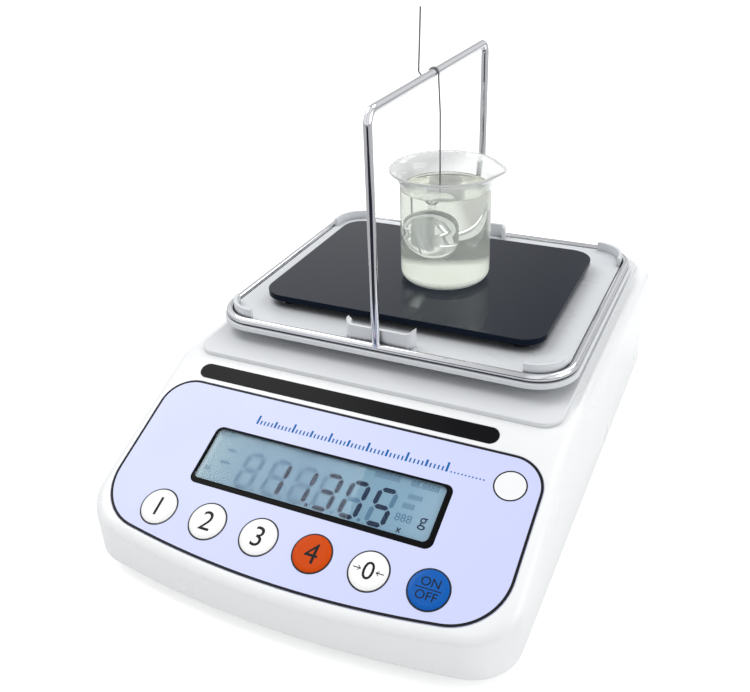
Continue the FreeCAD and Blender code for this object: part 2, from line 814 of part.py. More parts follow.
def key(x):
    """A round cap with a bevelled top, the flange that keeps it in, and its stem down to the switch."""
    rim = film_top + key_proud
    top = rim + key_crown
    flange_top = -casing_wall - key_clearance
    flange_bottom = flange_top - key_flange_thickness
    flange_radius = key_hole_radius + key_flange_width
    stem_end = -panel_board_depth + switch_body_height + switch_plunger_height + key_switch_gap
    return on_panel(revolved([(0, top), (key_radius - key_bevel, top), (key_radius, rim),
                              (key_radius, flange_top), (flange_radius, flange_top),
                              (flange_radius, flange_bottom), (key_stem_radius, flange_bottom),
                              (key_stem_radius, stem_end), (0, stem_end)], x, -key_s))


# ---------------------------------------------------------------- weighing pan and deck

def deck_plate():
    plate = rounded_plate((-deck_half_width, deck_half_width), (deck_front_y, deck_back_y),
                          (casing_top_z, deck_top_z), deck_corner_radius)
    plate = plate.makeFillet(deck_edge_radius, edges_at_height(plate, deck_top_z))
    return plate.cut(post(0, pan_centre_y, (casing_top_z - overrun, deck_top_z + overrun), stem_hole_radius))


def pan_slab(inset, z_range):
    """The pan's plan moved inwards, as a plate."""
    return rounded_plate((inset - pan_half_width, pan_half_width - inset),
                         (pan_front_y + inset, pan_back_y - inset), z_range,
                         pan_corner_radius - inset)


def pan_lips():
    """The four raised corners that stand inside the wire frame."""
    lip_range = (pan_floor_z - overrun, pan_floor_z + lip_height)
    ring = pan_slab(tray_inset, lip_range).cut(pan_slab(tray_inset + lip_thickness, lip_range))
    reach = pan_corner_radius * 3
    keep = []
    for side in (-1, 1):
        near_x = sorted((side * (pan_half_width - tray_inset - lip_inset_front), side * reach * 2))
        far_x = sorted((side * (pan_half_width - tray_inset - lip_inset_back), side * reach * 2))
        keep.append(box(near_x, (pan_front_y, pan_front_y + tray_inset + lip_reach_front), lip_range))
        keep.append(box(far_x, (pan_back_y - tray_inset - lip_reach_back, pan_back_y), lip_range))
    return [ring.common(block) for block in keep]


def pan_clip(edge_y, inwards, end_rise, end_run):
    """A retaining clip on the pan's edge: a wall with turned-in ends that rise or round off."""
    half = clip_width / 2
    low = pan_floor_z - overrun
    shoulder_z = pan_floor_z + clip_height
    end_z = shoulder_z + end_rise
    shoulders = [Vector(side * (half - end_run), 0, shoulder_z) for side in (-1, 1)]
    ends = [Vector(side * half, 0, end_z) for side in (-1, 1)]
    edges = [tangent_arc(shoulders[0], Vector(-1, 0, 0), ends[0]),
             Part.LineSegment(shoulders[0], shoulders[1]).toShape(),
             tangent_arc(shoulders[1], Vector(1, 0, 0), ends[1])]
    edges += outline_edges([ends[1], Vector(half, 0, low), Vector(-half, 0, low), ends[0]])
    outline = Part.Face(Part.Wire(Part.sortEdges(edges)[0]))
    depth = clip_thickness + clip_return
    front = outline.extrude(Vector(0, depth, 0))
    roof = max(shoulder_z, end_z) + overrun
    channel = rounded_plate((-half, half), (0, 2 * depth), (low, roof), clip_return).cut(
        rounded_plate((clip_thickness - half, half - clip_thickness),
                      (clip_thickness, 2 * depth - clip_thickness), (low, roof),
                      clip_return - clip_thickness / 2))
    clip = front.common(channel)
    if inwards < 0:
        clip = clip.mirror(Vector(0, 0, 0), Vector(0, 1, 0))
    clip.translate(Vector(0, edge_y, 0))
    return clip


def pan():
    ledge_body = pan_slab(0, (pan_bottom_z, ledge_z))
    ledge_body = ledge_body.makeFillet(pan_round, edges_at_height(ledge_body, ledge_z))
    tray = pan_slab(tray_inset, (pan_bottom_z, pan_floor_z))
    tray = tray.makeFillet(pan_round, edges_at_height(tray, pan_floor_z))
    body = ledge_body.fuse(tray)
    ledge_roof_z = ledge_z - pan_floor_thickness
    body = body.cut(pan_slab(pan_skirt_wall, (pan_bottom_z - overrun, ledge_roof_z)))
    body = body.cut(pan_slab(tray_inset + pan_floor_thickness, (pan_bottom_z, pan_underside_z)))
    clips = [pan_clip(pan_front_y + tray_inset, 1, clip_horn_rise, clip_horn_run),
             pan_clip(pan_back_y - tray_inset, -1, -clip_round_drop, clip_round_drop)]
    sockets = []
    for x, y in cross_pads:
        bore_radius = pan_pad_radius + pan_pad_clearance
        socket_range = (pan_underside_z - pan_pad_socket_depth, pan_underside_z)
        sockets.append(post(x, y, socket_range, bore_radius + pan_pad_socket_wall).cut(
            post(x, y, socket_range, bore_radius)))
    body = body.multiFuse(pan_lips() + clips + sockets).removeSplitter()
    holes = [post(x, y, (pan_bottom_z, pan_floor_z + overrun), leg_radius + leg_clearance)
             for x, y in leg_places]
    return body.cut(Part.makeCompound(holes))


# ---------------------------------------------------------------- wire frame and gantry

def loop_path(side):
    """Half of the wire frame's centre line, from the front to the back on one side."""
    x = side * loop_half_width
    return bent_path([Vector(0, loop_front_y, loop_z), Vector(x, loop_front_y, loop_z),
                      Vector(x, loop_back_y, loop_z), Vector(0, loop_back_y, loop_z)],
                     loop_corner_radius)


def frame_loop():
    halves = [swept(loop_path(side), round_section(Vector(0, loop_front_y, loop_z),
                                                   Vector(1, 0, 0), loop_rod_radius))
              for side in (-1, 1)]
    return halves[0].fuse(halves[1]).removeSplitter()


def frame_gantry():
    """Two posts and a bar bent from one rod. Each foot is saddled on the wire frame."""
    feet = [Vector(0, y, loop_z) for y in (loop_front_y, loop_back_y)]
    tops = [Vector(0, y, gantry_bar_z) for y in (loop_front_y, loop_back_y)]
    path = bent_path([feet[0], tops[0], tops[1], feet[1]], gantry_bend_radius)
    rod = swept(path, round_section(feet[0], Vector(0, 0, 1), gantry_rod_radius))
    saddles = [Part.makeCylinder(loop_rod_radius, 4 * gantry_rod_radius,
                                 Vector(-2 * gantry_rod_radius, foot.y, foot.z), Vector(1, 0, 0))
               for foot in feet]
    return rod.cut(Part.makeCompound(saddles))


def hook_wire():
    """A spring-steel hook: handle, bend under the bar, turn over it, drop wire and open eye."""
    turn = hook_turn_radius
    handle_x = -turn - hook_handle_pitch
    handle_top = Vector(handle_x + hook_handle_lean, hook_y, hook_handle_top_z)
    handle = bent_path([handle_top, Vector(handle_x, hook_y, gantry_bar_z),
                        Vector(-turn - hook_bend_radius, hook_y, gantry_bar_z - hook_bend_drop),
                        Vector(-turn, hook_y, gantry_bar_z - hook_bend_radius),
                        Vector(-turn, hook_y, gantry_bar_z)], hook_bend_radius / 2)
    over_bar = Part.Arc(Vector(-turn, hook_y, gantry_bar_z), Vector(0, hook_y, gantry_bar_z + turn),
                        Vector(turn, hook_y, gantry_bar_z)).toShape()
    eye = Vector(hook_eye_x, hook_y, hook_eye_z)
    eye_start = Vector(hook_drop_x, hook_y, hook_eye_z)
    end_turn = radians(180 + hook_eye_open_angle)
    eye_end = eye + Vector(cos(end_turn), 0, -sin(end_turn)) * hook_eye_radius
    eye_foot = eye - Vector(0, 0, hook_eye_radius)
    drop = bent_path([Vector(turn, hook_y, gantry_bar_z), Vector(turn, hook_y, gantry_bar_z - turn),
                      Vector(hook_drop_x, hook_y, gantry_bar_z - turn - hook_sway_drop), eye_start],
                     hook_eye_radius)
    eye_arc = Part.Arc(eye_start, eye_foot, eye_end).toShape()
    handle_foot = Vector(handle_x, hook_y, gantry_bar_z)
    section = round_section(handle_top, handle_foot - handle_top, hook_wire_radius)
    return swept(handle + [over_bar] + drop + [eye_arc], section)


def sinker_body(grow):
    """The sinker's glass body: domed ends on a straight barrel, with a neck under its ring."""
    x = hook_eye_x
    y = hook_y
    radius = sinker_radius + grow
    neck = sinker_neck_radius + grow
    neck_z = sinker_top_z + sinker_neck_overlap
    bottom = sinker_top_z - sinker_length - grow
    barrel_top = Vector(x + radius, y, sinker_top_z - sinker_radius)
    barrel_low = Vector(x + radius, y, bottom + radius)
    shoulder = Vector(x + neck, y, barrel_top.z + sqrt(radius * radius - neck * neck))
    upwards = Vector(0, 0, 1)
    edges = outline_edges([Vector(x, y, bottom), Vector(x, y, neck_z), Vector(x + neck, y, neck_z), shoulder])
    edges += [tangent_arc(barrel_top, upwards, shoulder),
              Part.LineSegment(barrel_top, barrel_low).toShape(),
              tangent_arc(barrel_low, -upwards, Vector(x, y, bottom))]
    return turned_face(edges, x, y)


def sinker():
    ring = Part.makeTorus(sinker_ring_radius, sinker_ring_wire,
                          Vector(hook_eye_x, hook_y, sinker_ring_z), Vector(1, 0, 0))
    return sinker_body(0).fuse(ring).removeSplitter()


# ---------------------------------------------------------------- platform, beaker and sample

def platform_plate():
    half = platform_width / 2
    half_depth = platform_depth / 2
    plate = rounded_plate((-half, half), (platform_centre_y - half_depth, platform_centre_y + half_depth),
                          (platform_bottom_z, platform_top_z), platform_corner_radius)
    rims = edges_at_height(plate, platform_top_z) + edges_at_height(plate, platform_bottom_z)
    return plate.makeFillet(platform_edge, rims)


def platform_legs():
    foot_z = deck_top_z + leg_pad_thickness
    legs = []
    for x, y in leg_places:
        legs.append(revolved([(0, foot_z), (leg_foot_radius, foot_z), (leg_radius, foot_z + leg_taper_height),
                              (leg_radius, platform_bottom_z), (0, platform_bottom_z)], x, y))
    return Part.makeCompound(legs)


def platform_pads():
    return Part.makeCompound([post(x, y, (deck_top_z, deck_top_z + leg_pad_thickness), leg_foot_radius)
                              for x, y in leg_places])


def beaker_form(inset, top_z):
    """The beaker's outer form, moved inwards: round foot, straight wall and flared rim."""
    x = beaker_x
    y = beaker_y
    radius = beaker_radius - inset
    fillet = beaker_base_round - inset
    foot_z = platform_top_z + (beaker_base if inset else 0)
    rim_z = platform_top_z + beaker_height
    flare_z = min(top_z, rim_z - beaker_flare_height)
    flat_end = Vector(x + radius - fillet, y, foot_z)
    wall_foot = Vector(x + radius, y, foot_z + fillet)
    wall_top = Vector(x + radius, y, flare_z)
    upper = [wall_top, Vector(x, y, flare_z)]
    edges = [tangent_arc(flat_end, Vector(1, 0, 0), wall_foot),
             Part.LineSegment(wall_foot, wall_top).toShape()]
    if top_z > flare_z:
        rim = Vector(x + beaker_rim_radius - inset, y, rim_z)
        edges.append(tangent_arc(wall_top, Vector(0, 0, 1), rim))
        upper = [rim, Vector(x, y, rim_z)]
    edges += outline_edges(upper + [Vector(x, y, foot_z), flat_end])
    return turned_face(edges, x, y)


def spout_cone(inset):
    """The pouring lip: a cone that leans out of the rim."""
    rim_z = platform_top_z + beaker_height
    top_radius = beaker_spout_width / 2 - inset
    low_radius = beaker_spout_foot_width / 2 - inset
    top_centre = beaker_spout_reach - beaker_spout_width / 2
    low_centre = beaker_radius - beaker_wall / 2 - beaker_spout_foot_width / 2
    low = round_section(Vector(beaker_x + low_centre, beaker_y, rim_z - beaker_spout_height),
                        Vector(0, 0, 1), low_radius)
    top = round_section(Vector(beaker_x + top_centre, beaker_y, rim_z + (beaker_lip_overrun if inset else 0)),
                        Vector(0, 0, 1), top_radius)
    cone = Part.makeLoft([low, top], True)
    cone.rotate(Vector(beaker_x, beaker_y, 0), Vector(0, 0, 1), beaker_spout_angle)
    return cone


def beaker():
    rim_z = platform_top_z + beaker_height
    outer = beaker_form(0, rim_z).fuse(spout_cone(0))
    inner = beaker_form(beaker_wall, rim_z)
    glass = outer.cut(inner).cut(spout_cone(beaker_wall))
    return glass.removeSplitter()


def sample_liquid():
    """The liquid up to its surface, less the room that the sinker and its hook take."""
    liquid = beaker_form(beaker_wall + liquid_film, liquid_top_z)
    well_radius = 2 * hook_eye_radius + liquid_clearance
    well = post(hook_eye_x, hook_y, (sinker_top_z - overrun, liquid_top_z + overrun), well_radius)
    return liquid.cut(sinker_body(liquid_clearance).fuse(well))


# ---------------------------------------------------------------- weighing mechanism

def load_cell():
    """A bending-beam cell: a bar with two joined bores that leave four thin hinges."""
    half = cell_section / 2
    bar = box((-half, half), (cell_front_y, cell_back_y), (cell_bottom_z, cell_top_z))
    middle_z = (cell_bottom_z + cell_top_z) / 2
    bore_ys = [pan_centre_y + side * cell_flexure_pitch / 2 for side in (-1, 1)]
    bores = [Part.makeCylinder(cell_flexure_radius, 2 * cell_section,
                               Vector(-cell_section, y, middle_z), Vector(1, 0, 0)) for y in bore_ys]
    slot = box((-cell_section, cell_section), bore_ys, (middle_z - cell_slot / 2, middle_z + cell_slot / 2))
    threads = [post(0, y, (cell_top_z - cell_bolt_grip, cell_top_z + overrun), cell_bolt_radius)
               for y in cell_free_bolts]
    threads += [post(0, y, (cell_bottom_z - overrun, cell_bottom_z + cell_bolt_grip), cell_bolt_radius)
                for y in cell_fixed_bolts]
    return bar.cut(slot.multiFuse(bores)).cut(Part.makeCompound(threads))


def load_cell_mount():
    """The spacer that lifts the cell's fixed end off the base."""
    half = cell_section / 2
    block = rounded_plate((-half, half), (cell_back_y - cell_mount_length, cell_back_y),
                          (mount_bottom_z, cell_bottom_z), cell_mount_corner)
    holes = [post(0, y, (0, casing_top_z), cell_bolt_radius + seam_clearance) for y in cell_fixed_bolts]
    return block.cut(Part.makeCompound(holes))


def load_cell_bolts():
    seat_z = base_bottom_z + cell_bolt_head_height
    length = cell_bottom_z + cell_bolt_grip - seat_z
    return Part.makeCompound([screw(0, y, seat_z, length, cell_bolt_radius, cell_bolt_head_radius,
                                    cell_bolt_head_height, True) for y in cell_fixed_bolts])


def overload_stop():
    """The screw under the free end that takes the load before the cell bends too far."""
    boss_top = base_inside_z + stop_boss_height
    stop_top = cell_bottom_z - stop_gap
    return revolved([(0, base_inside_z), (stop_radius / 2, base_inside_z), (stop_radius / 2, boss_top),
                     (stop_radius, boss_top), (stop_radius, stop_top - stop_edge),
                     (stop_radius - stop_edge, stop_top), (0, stop_top)], 0, stop_y)


def carrier_arm():
    """A cast arm from the cell's free end to the pan's centre, ribbed along both sides."""
    half = arm_width / 2
    arm_end_y = pan_centre_y + arm_tail
    plate = rounded_plate((-half, half), (cell_front_y, arm_end_y), (arm_bottom_z, arm_top_z),
                          arm_corner_radius)
    boss = rounded_plate((-cell_section / 2, cell_section / 2),
                         (cell_front_y, cell_front_y + arm_boss_length), (cell_top_z, arm_bottom_z),
                         arm_boss_corner)
    rib_range = (arm_top_z, arm_top_z + arm_rib_height)
    outer = rounded_plate((-half, half), (cell_front_y, arm_end_y), rib_range, arm_corner_radius)
    inner = rounded_plate((rib_thickness - half, half - rib_thickness),
                          (cell_front_y + rib_thickness, arm_end_y - rib_thickness),
                          rib_range, arm_corner_radius - rib_thickness)
    arm = plate.fuse(boss).fuse(outer.cut(inner)).removeSplitter()
    holes = [post(0, y, (cell_top_z - overrun, arm_top_z + overrun), cell_bolt_radius + seam_clearance)
             for y in cell_free_bolts]
    holes.append(post(0, pan_centre_y, (arm_bottom_z - overrun, arm_top_z + overrun), stem_spigot_radius))
    return arm.cut(Part.makeCompound(holes))


def carrier_bolts():
    length = arm_top_z - cell_top_z + cell_bolt_grip
    return Part.makeCompound([screw(0, y, arm_top_z, length, cell_bolt_radius, cell_bolt_head_radius,
                                    cell_bolt_head_height, False) for y in cell_free_bolts])


def pan_stem():
    """A turned post with a flange on the arm and a spigot at each end."""
    flange_top = arm_top_z + stem_flange_thickness
    return revolved([(0, arm_bottom_z), (stem_spigot_radius, arm_bottom_z), (stem_spigot_radius, arm_top_z),
                     (stem_flange_radius, arm_top_z), (stem_flange_radius, flange_top),
                     (stem_radius, flange_top), (stem_radius, cross_bottom_z),
                     (stem_spigot_radius, cross_bottom_z), (stem_spigot_radius, cross_top_z),
                     (0, cross_top_z)], 0, pan_centre_y)


def pan_cross():
    """A flat cross with a round end under each corner pad."""
    hub = post(0, pan_centre_y, (cross_bottom_z, cross_top_z), cross_arm_width)
    reach = sqrt(cross_pad_x * cross_pad_x + cross_pad_y * cross_pad_y)
    arms = []
    for x, y in cross_pads:
        arm = box((0, reach), (-cross_arm_width / 2, cross_arm_width / 2), (cross_bottom_z, cross_top_z))
        turn = FreeCAD.Rotation(Vector(1, 0, 0), Vector(x, y - pan_centre_y, 0))
        arm.Placement = FreeCAD.Placement(Vector(0, pan_centre_y, 0), turn)
        arms.append(arm)
        arms.append(post(x, y, (cross_bottom_z, cross_top_z), cross_arm_width / 2))
    cross = hub.multiFuse(arms).removeSplitter()
    bore = post(0, pan_centre_y, (cross_bottom_z - overrun, cross_top_z + overrun), stem_spigot_radius)
    return cross.cut(bore)


def pan_pads():
    return Part.makeCompound([post(x, y, (cross_top_z, pan_underside_z), pan_pad_radius)
                              for x, y in cross_pads])


# ---------------------------------------------------------------- boards, sockets and leads

def main_board():
    board = rounded_plate((main_board_left, main_board_right), (main_board_front_y, main_board_back_y),
                          (main_board_z, main_board_top_z), board_corner_radius)
    hole_range = (main_board_z - overrun, main_board_top_z + overrun)
    holes = [post(x, y, hole_range, board_screw_radius + seam_clearance)
             for x, y in main_board_screws]
    return board.cut(Part.makeCompound(holes))


def on_board(x, y, size):
    """A square-cornered component that stands on the main board, with its left front corner at x, y."""
    return box((x, x + size[0]), (y, y + size[1]), (main_board_top_z, main_board_top_z + size[2]))


def main_board_parts():
    """Shield can, processor, converter, capacitors, regulator and the two lead headers."""
    top = main_board_top_z
    left = main_board_left + parts_left
    right = main_board_left + parts_right
    can_width, can_depth, can_height = shield_can_size
    can_y = board_middle_y - can_depth / 4
    parts = [rounded_plate((right, right + can_width), (can_y, can_y + can_depth), (top, top + can_height),
                           shield_can_corner),
             on_board(left, board_middle_y, processor_size),
             on_board(right, board_middle_y - can_depth, converter_size),
             on_board(left, board_middle_y + 1.5 * processor_size[1], regulator_size),
             on_board(lead_header_x - lead_header_size[0] / 2, lead_header_y - lead_header_size[1] / 2,
                      lead_header_size),
             on_board(ribbon_left, ribbon_header_y - ribbon_header_size[1] / 2, ribbon_header_size)]
    for x in (right, right + capacitor_pitch):
        capacitor = post(x, can_y + 1.75 * can_depth, (top, top + capacitor_height), capacitor_radius)
        rim = edges_at_height(capacitor, top + capacitor_height)
        parts.append(capacitor.makeChamfer(capacitor_edge, rim))
    return Part.makeCompound(parts)


def dc_jack():
    """A power inlet on the board: square body, round collar, and a centre pin."""
    wall_y = back_y - casing_wall
    floor_y = wall_y - jack_depth + jack_bore_floor
    half = jack_width / 2
    body = box((jack_x - half, jack_x + half), (wall_y - jack_depth, wall_y),
               (main_board_top_z, main_board_top_z + jack_height))
    along = Vector(0, 1, 0)
    collar = Part.makeCylinder(jack_collar_radius, casing_wall + overrun,
                               Vector(jack_x, wall_y - overrun, jack_z), along)
    bore = Part.makeCylinder(jack_bore_radius, jack_depth + casing_wall,
                             Vector(jack_x, floor_y, jack_z), along)
    pin_root = floor_y - jack_bore_floor / 2
    pin = Part.makeCylinder(jack_pin_radius, back_y - jack_pin_recess - pin_root,
                            Vector(jack_x, pin_root, jack_z), along)
    return body.fuse(collar).cut(bore).fuse(pin).removeSplitter()


def serial_port():
    """A nine-pin socket on the board: block and D-shaped shell, with its pins in two rows."""
    flange_y = back_y - casing_wall
    block = box((port_x - port_width / 2, port_x + port_width / 2), (flange_y - port_depth, flange_y),
                (main_board_top_z, main_board_top_z + port_height))
    shell = port_form(0, (flange_y - overrun, back_y))
    well = port_form(-port_shell_wall, (flange_y - port_well_depth, back_y + overrun))
    pins = []
    for row, count in ((1, 5), (-1, 4)):
        for index in range(count):
            pin_x = port_x + (index - (count - 1) / 2) * port_pin_pitch
            root = Vector(pin_x, flange_y - port_well_depth - overrun / 2, port_z + row * port_pin_row)
            pins.append(Part.makeCylinder(port_pin_radius, port_pin_length, root, Vector(0, 1, 0)))
    return block.fuse(shell).cut(well).multiFuse(pins).removeSplitter()


def load_cell_lead():
    """The cell's lead: out of its side and down into the board's header."""
    plug_z = main_board_top_z + lead_header_size[2]
    exit_z = cell_top_z - lead_rise - cell_section / 4
    start = Vector(-cell_section / 2, lead_header_y, exit_z)
    corner = Vector(lead_header_x, lead_header_y, exit_z)
    end = Vector(lead_header_x, lead_header_y, plug_z)
    bend_radius = 0.9 * min(lead_stand_off, exit_z - plug_z)
    return swept(bent_path([start, corner, end], bend_radius),
                 round_section(start, Vector(1, 0, 0), lead_radius))


def panel_ribbon():
    """The flat lead from the back of the panel board to the main board."""
    half = ribbon_header_size[0] / 2
    x = ribbon_left + half
    plug_s = panel_board_top_s + 2 * board_screw_inset
    board_back_h = -panel_board_depth - board_thickness
    start = panel_frame.multVec(Vector(x, -plug_s, board_back_h))
    lower = panel_frame.multVec(Vector(x, -plug_s, board_back_h - ribbon_drop))
    run_z = main_board_top_z + ribbon_rise
    points = [start, lower, Vector(x, panel_start_y + ribbon_rise, run_z), Vector(x, ribbon_header_y, run_z),
              Vector(x, ribbon_header_y, main_board_top_z + ribbon_header_size[2])]
    across = Vector(half, 0, 0)
    outwards = panel_frame.Rotation.multVec(Vector(0, ribbon_thickness / 2, 0))
    corners = [start - across - outwards, start + across - outwards,
               start + across + outwards, start - across + outwards]
    return swept(bent_path(points, ribbon_bend_radius), Part.makePolygon(corners + corners[:1]))


def board_screws():
    """The screws of both circuit boards."""
    screws = [screw(x, y, main_board_top_z, board_thickness + board_screw_bite, board_screw_radius,
                    board_screw_head_radius, board_screw_head_height, False) for x, y in main_board_screws]
    screws += [on_panel(screw(x, -s, -panel_board_depth - board_thickness,
                              board_thickness + board_screw_bite, board_screw_radius,
                              board_screw_head_radius, board_screw_head_height, True))
               for x, s in panel_board_screws]
    return Part.makeCompound(screws)


# ---------------------------------------------------------------- the assembly

save("top_cover", top_cover())
save("base_shell", base_shell())
save("cover_screws", cover_screws())
save("foot_inserts", foot_inserts())
for depth_name, foot_y in foot_ys.items():
    for side_name, foot_x in zip(("left", "right"), foot_xs):
        save("foot_" + depth_name + "_" + side_name, foot_knob(foot_x, foot_y))
        save("foot_pad_" + depth_name + "_" + side_name, foot_pad(foot_x, foot_y))

save("control_overlay", control_overlay())
save("label_strip", label_strip())
save("display_frame", display_frame())
save("display_window", display_window())
save("lcd_panel", lcd_panel())
save("lcd_backlight", lcd_backlight())
save("panel_board", panel_board())
save("key_switches", key_switches())
for key_name, key_x in zip(("key_1", "key_2", "key_3", "key_4", "key_zero", "key_power"), key_xs):
    save(key_name, key(key_x))

save("deck_plate", deck_plate())
save("pan", pan())
save("frame_loop", frame_loop())
save("frame_gantry", frame_gantry())
save("hook_wire", hook_wire())
save("sinker", sinker())
save("platform_plate", platform_plate())
save("platform_legs", platform_legs())
save("platform_pads", platform_pads())
save("beaker", beaker())
save("sample_liquid", sample_liquid())

save("load_cell", load_cell())
save("load_cell_mount", load_cell_mount())
save("load_cell_bolts", load_cell_bolts())
save("overload_stop", overload_stop())
save("carrier_arm", carrier_arm())
save("carrier_bolts", carrier_bolts())
save("pan_stem", pan_stem())
save("pan_cross", pan_cross())
save("pan_pads", pan_pads())

save("main_board", main_board())
save("main_board_parts", main_board_parts())
save("dc_jack", dc_jack())
save("serial_port", serial_port())
save("load_cell_lead", load_cell_lead())
save("panel_ribbon", panel_ribbon())
save("board_screws", board_screws())
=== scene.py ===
import json
import math

import bmesh
import bpy
from mathutils import Matrix, Vector


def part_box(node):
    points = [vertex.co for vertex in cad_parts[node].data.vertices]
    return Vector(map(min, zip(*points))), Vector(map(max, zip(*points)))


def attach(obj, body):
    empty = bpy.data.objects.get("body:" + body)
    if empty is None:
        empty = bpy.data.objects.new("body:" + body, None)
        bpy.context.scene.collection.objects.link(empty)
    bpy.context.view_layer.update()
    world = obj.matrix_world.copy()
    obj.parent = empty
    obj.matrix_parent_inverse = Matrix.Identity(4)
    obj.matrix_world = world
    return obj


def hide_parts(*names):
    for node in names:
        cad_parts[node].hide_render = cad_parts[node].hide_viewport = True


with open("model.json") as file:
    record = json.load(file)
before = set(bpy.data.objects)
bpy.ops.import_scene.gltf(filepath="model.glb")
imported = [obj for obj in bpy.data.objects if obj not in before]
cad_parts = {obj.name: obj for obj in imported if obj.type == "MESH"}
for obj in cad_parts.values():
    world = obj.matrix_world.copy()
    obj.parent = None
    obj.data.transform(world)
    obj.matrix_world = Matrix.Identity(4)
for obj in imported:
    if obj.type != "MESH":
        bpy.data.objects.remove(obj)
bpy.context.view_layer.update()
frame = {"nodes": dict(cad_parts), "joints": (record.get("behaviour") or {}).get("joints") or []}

nodes = frame["nodes"]

# ---------------------------------------------------------------- camera
# A long lens on a tripod in front of the right-hand corner, looking down on the keypad.
# It leans about two degrees, as a hand-levelled camera does.

camera_data = bpy.data.cameras.new("camera")
camera_data.lens = 41.8
camera_data.sensor_width = 36.0
camera_data.sensor_fit = "HORIZONTAL"
camera_data.clip_start = 0.01
camera_data.clip_end = 50.0
camera = bpy.data.objects.new("camera", camera_data)
camera_place = Vector((0.17061, -0.38712, 0.30924))
camera_right = Vector((0.90687, 0.42002, -0.0342))
camera_up = Vector((-0.18146, 0.46247, 0.86787))
camera_back = Vector((0.38034, -0.78083, 0.49562))
camera_turn = Matrix((camera_right, camera_up, camera_back)).transposed()
camera.matrix_world = Matrix.Translation(camera_place) @ camera_turn.to_4x4()
bpy.context.scene.collection.objects.link(camera)
bpy.context.scene.camera = camera
bpy.context.scene.view_settings.view_transform = "Standard"

# ---------------------------------------------------------------- stage and light
# A seamless pale table in a white room: one large soft lamp above the left shoulder, one behind
# and one at the right. Bright metal mirrors painted reflections that light nothing: pale wall panels
# in the room, and painted dark zones on the table, darkest at its front and greyer at its sides, which give
# the rods their dark lines.


def new_material(name):
    """An empty node material with its output, ready for a shader."""
    material = bpy.data.materials.new(name)
    material.use_nodes = True
    tree = material.node_tree
    tree.nodes.clear()
    output = tree.nodes.new("ShaderNodeOutputMaterial")
    return material, tree, output


def add_node(tree, kind, inputs=None, **settings):
    """A shader node with its settings. Each input gets a fixed value, or a socket to link from."""
    node = tree.nodes.new("ShaderNode" + kind)
    for setting, value in settings.items():
        setattr(node, setting, value)
    for socket, value in (inputs or {}).items():
        if isinstance(value, bpy.types.NodeSocket):
            tree.links.new(value, node.inputs[socket])
        else:
            node.inputs[socket].default_value = value
    return node


def calculated(tree, operation, *values):
    """The result of a Math node, on fixed values or sockets."""
    return add_node(tree, "Math", dict(enumerate(values)), operation=operation).outputs[0]


def ranged(tree, value, from_min, from_max, to_min=0.0, to_max=1.0, **settings):
    """A value carried from one range to another and held at its ends."""
    limits = {"Value": value, "From Min": from_min, "From Max": from_max, "To Min": to_min, "To Max": to_max}
    return add_node(tree, "MapRange", limits, **settings).outputs["Result"]


def mixed(tree, share, first, second):
    """The first shader, giving way to the second by the share."""
    return add_node(tree, "MixShader", {0: share, 1: first, 2: second}).outputs[0]


def mesh_object(name, points, faces, smooth=True):
    """A mesh piece from its corner points and faces."""
    mesh = bpy.data.meshes.new(name)
    mesh.from_pydata(points, [], faces)
    mesh.validate()
    piece = bpy.data.objects.new(name, mesh)
    bpy.context.scene.collection.objects.link(piece)
    for polygon in mesh.polygons:
        polygon.use_smooth = smooth
    return piece


floor_half = 6.0
table_white = (0.86, 0.865, 0.87, 1)
painted_reflection_colour = (0.02, 0.02, 0.03, 1)
table_glow = 0.5
# Painted reflections: zones where bright metal sees the pale table dark. For each: how dark, then for
# each edge of the zone its axis, where the dark begins and where it is full.
painted_reflection_zones = ((1.0, (("Y", -0.19, -0.23), ("X", -0.17, -0.13), ("X", 0.45, 0.40))),
              (0.85, (("Y", -0.095, -0.115), ("X", 0.115, 0.135), ("X", 0.22, 0.19))),
              (0.5, (("X", -0.14, -0.19),)),
              (0.5, (("X", 0.17, 0.23),)))
floor_material, tree, output = new_material("pale_table")
table_place = add_node(tree, "TexCoord").outputs["Object"]
table_axes = add_node(tree, "SeparateXYZ", {0: table_place}).outputs
ray = add_node(tree, "LightPath").outputs
mirrored_share = 0.0
for darkness, edges in painted_reflection_zones:
    share = calculated(tree, "MULTIPLY", ray["Is Glossy Ray"], darkness)
    for axis, outside, inside in edges:
        share = calculated(tree, "MULTIPLY", ranged(tree, table_axes[axis], outside, inside), share)
    mirrored_share = calculated(tree, "MAXIMUM", mirrored_share, share)
white_top = add_node(tree, "BsdfDiffuse", {"Color": table_white}).outputs[0]
painted_reflection_shader = add_node(tree, "BsdfDiffuse", {"Color": painted_reflection_colour}).outputs[0]
glow = add_node(tree, "Emission", {"Color": (1, 1, 1, 1), "Strength": table_glow}).outputs[0]
top_seen = add_node(tree, "AddShader", {0: white_top, 1: glow}).outputs[0]
# Only glossy rays see the painted dark zones; the camera and the light see the pale table.
top_mirrored = mixed(tree, mirrored_share, white_top, painted_reflection_shader)
table_top = mixed(tree, ray["Is Camera Ray"], top_mirrored, top_seen)
tree.links.new(table_top, output.inputs["Surface"])
floor_corners = [(x * floor_half, y * floor_half, 0) for x, y in ((-1, -1), (1, -1), (1, 1), (-1, 1))]
floor = mesh_object("table", floor_corners, [(0, 1, 2, 3)], smooth=False)
floor.data.materials.append(floor_material)

world = bpy.data.worlds.new("white_room")
bpy.context.scene.world = world
world.use_nodes = True
tree = world.node_tree
tree.nodes.clear()
room_light = 0.77
# Painted reflection: the back of the room is a little darker where metal mirrors it, though it lights as
# brightly: its level, and where the change begins and ends.
painted_back_level = 0.8
back_start = 0.3
back_full = 0.6
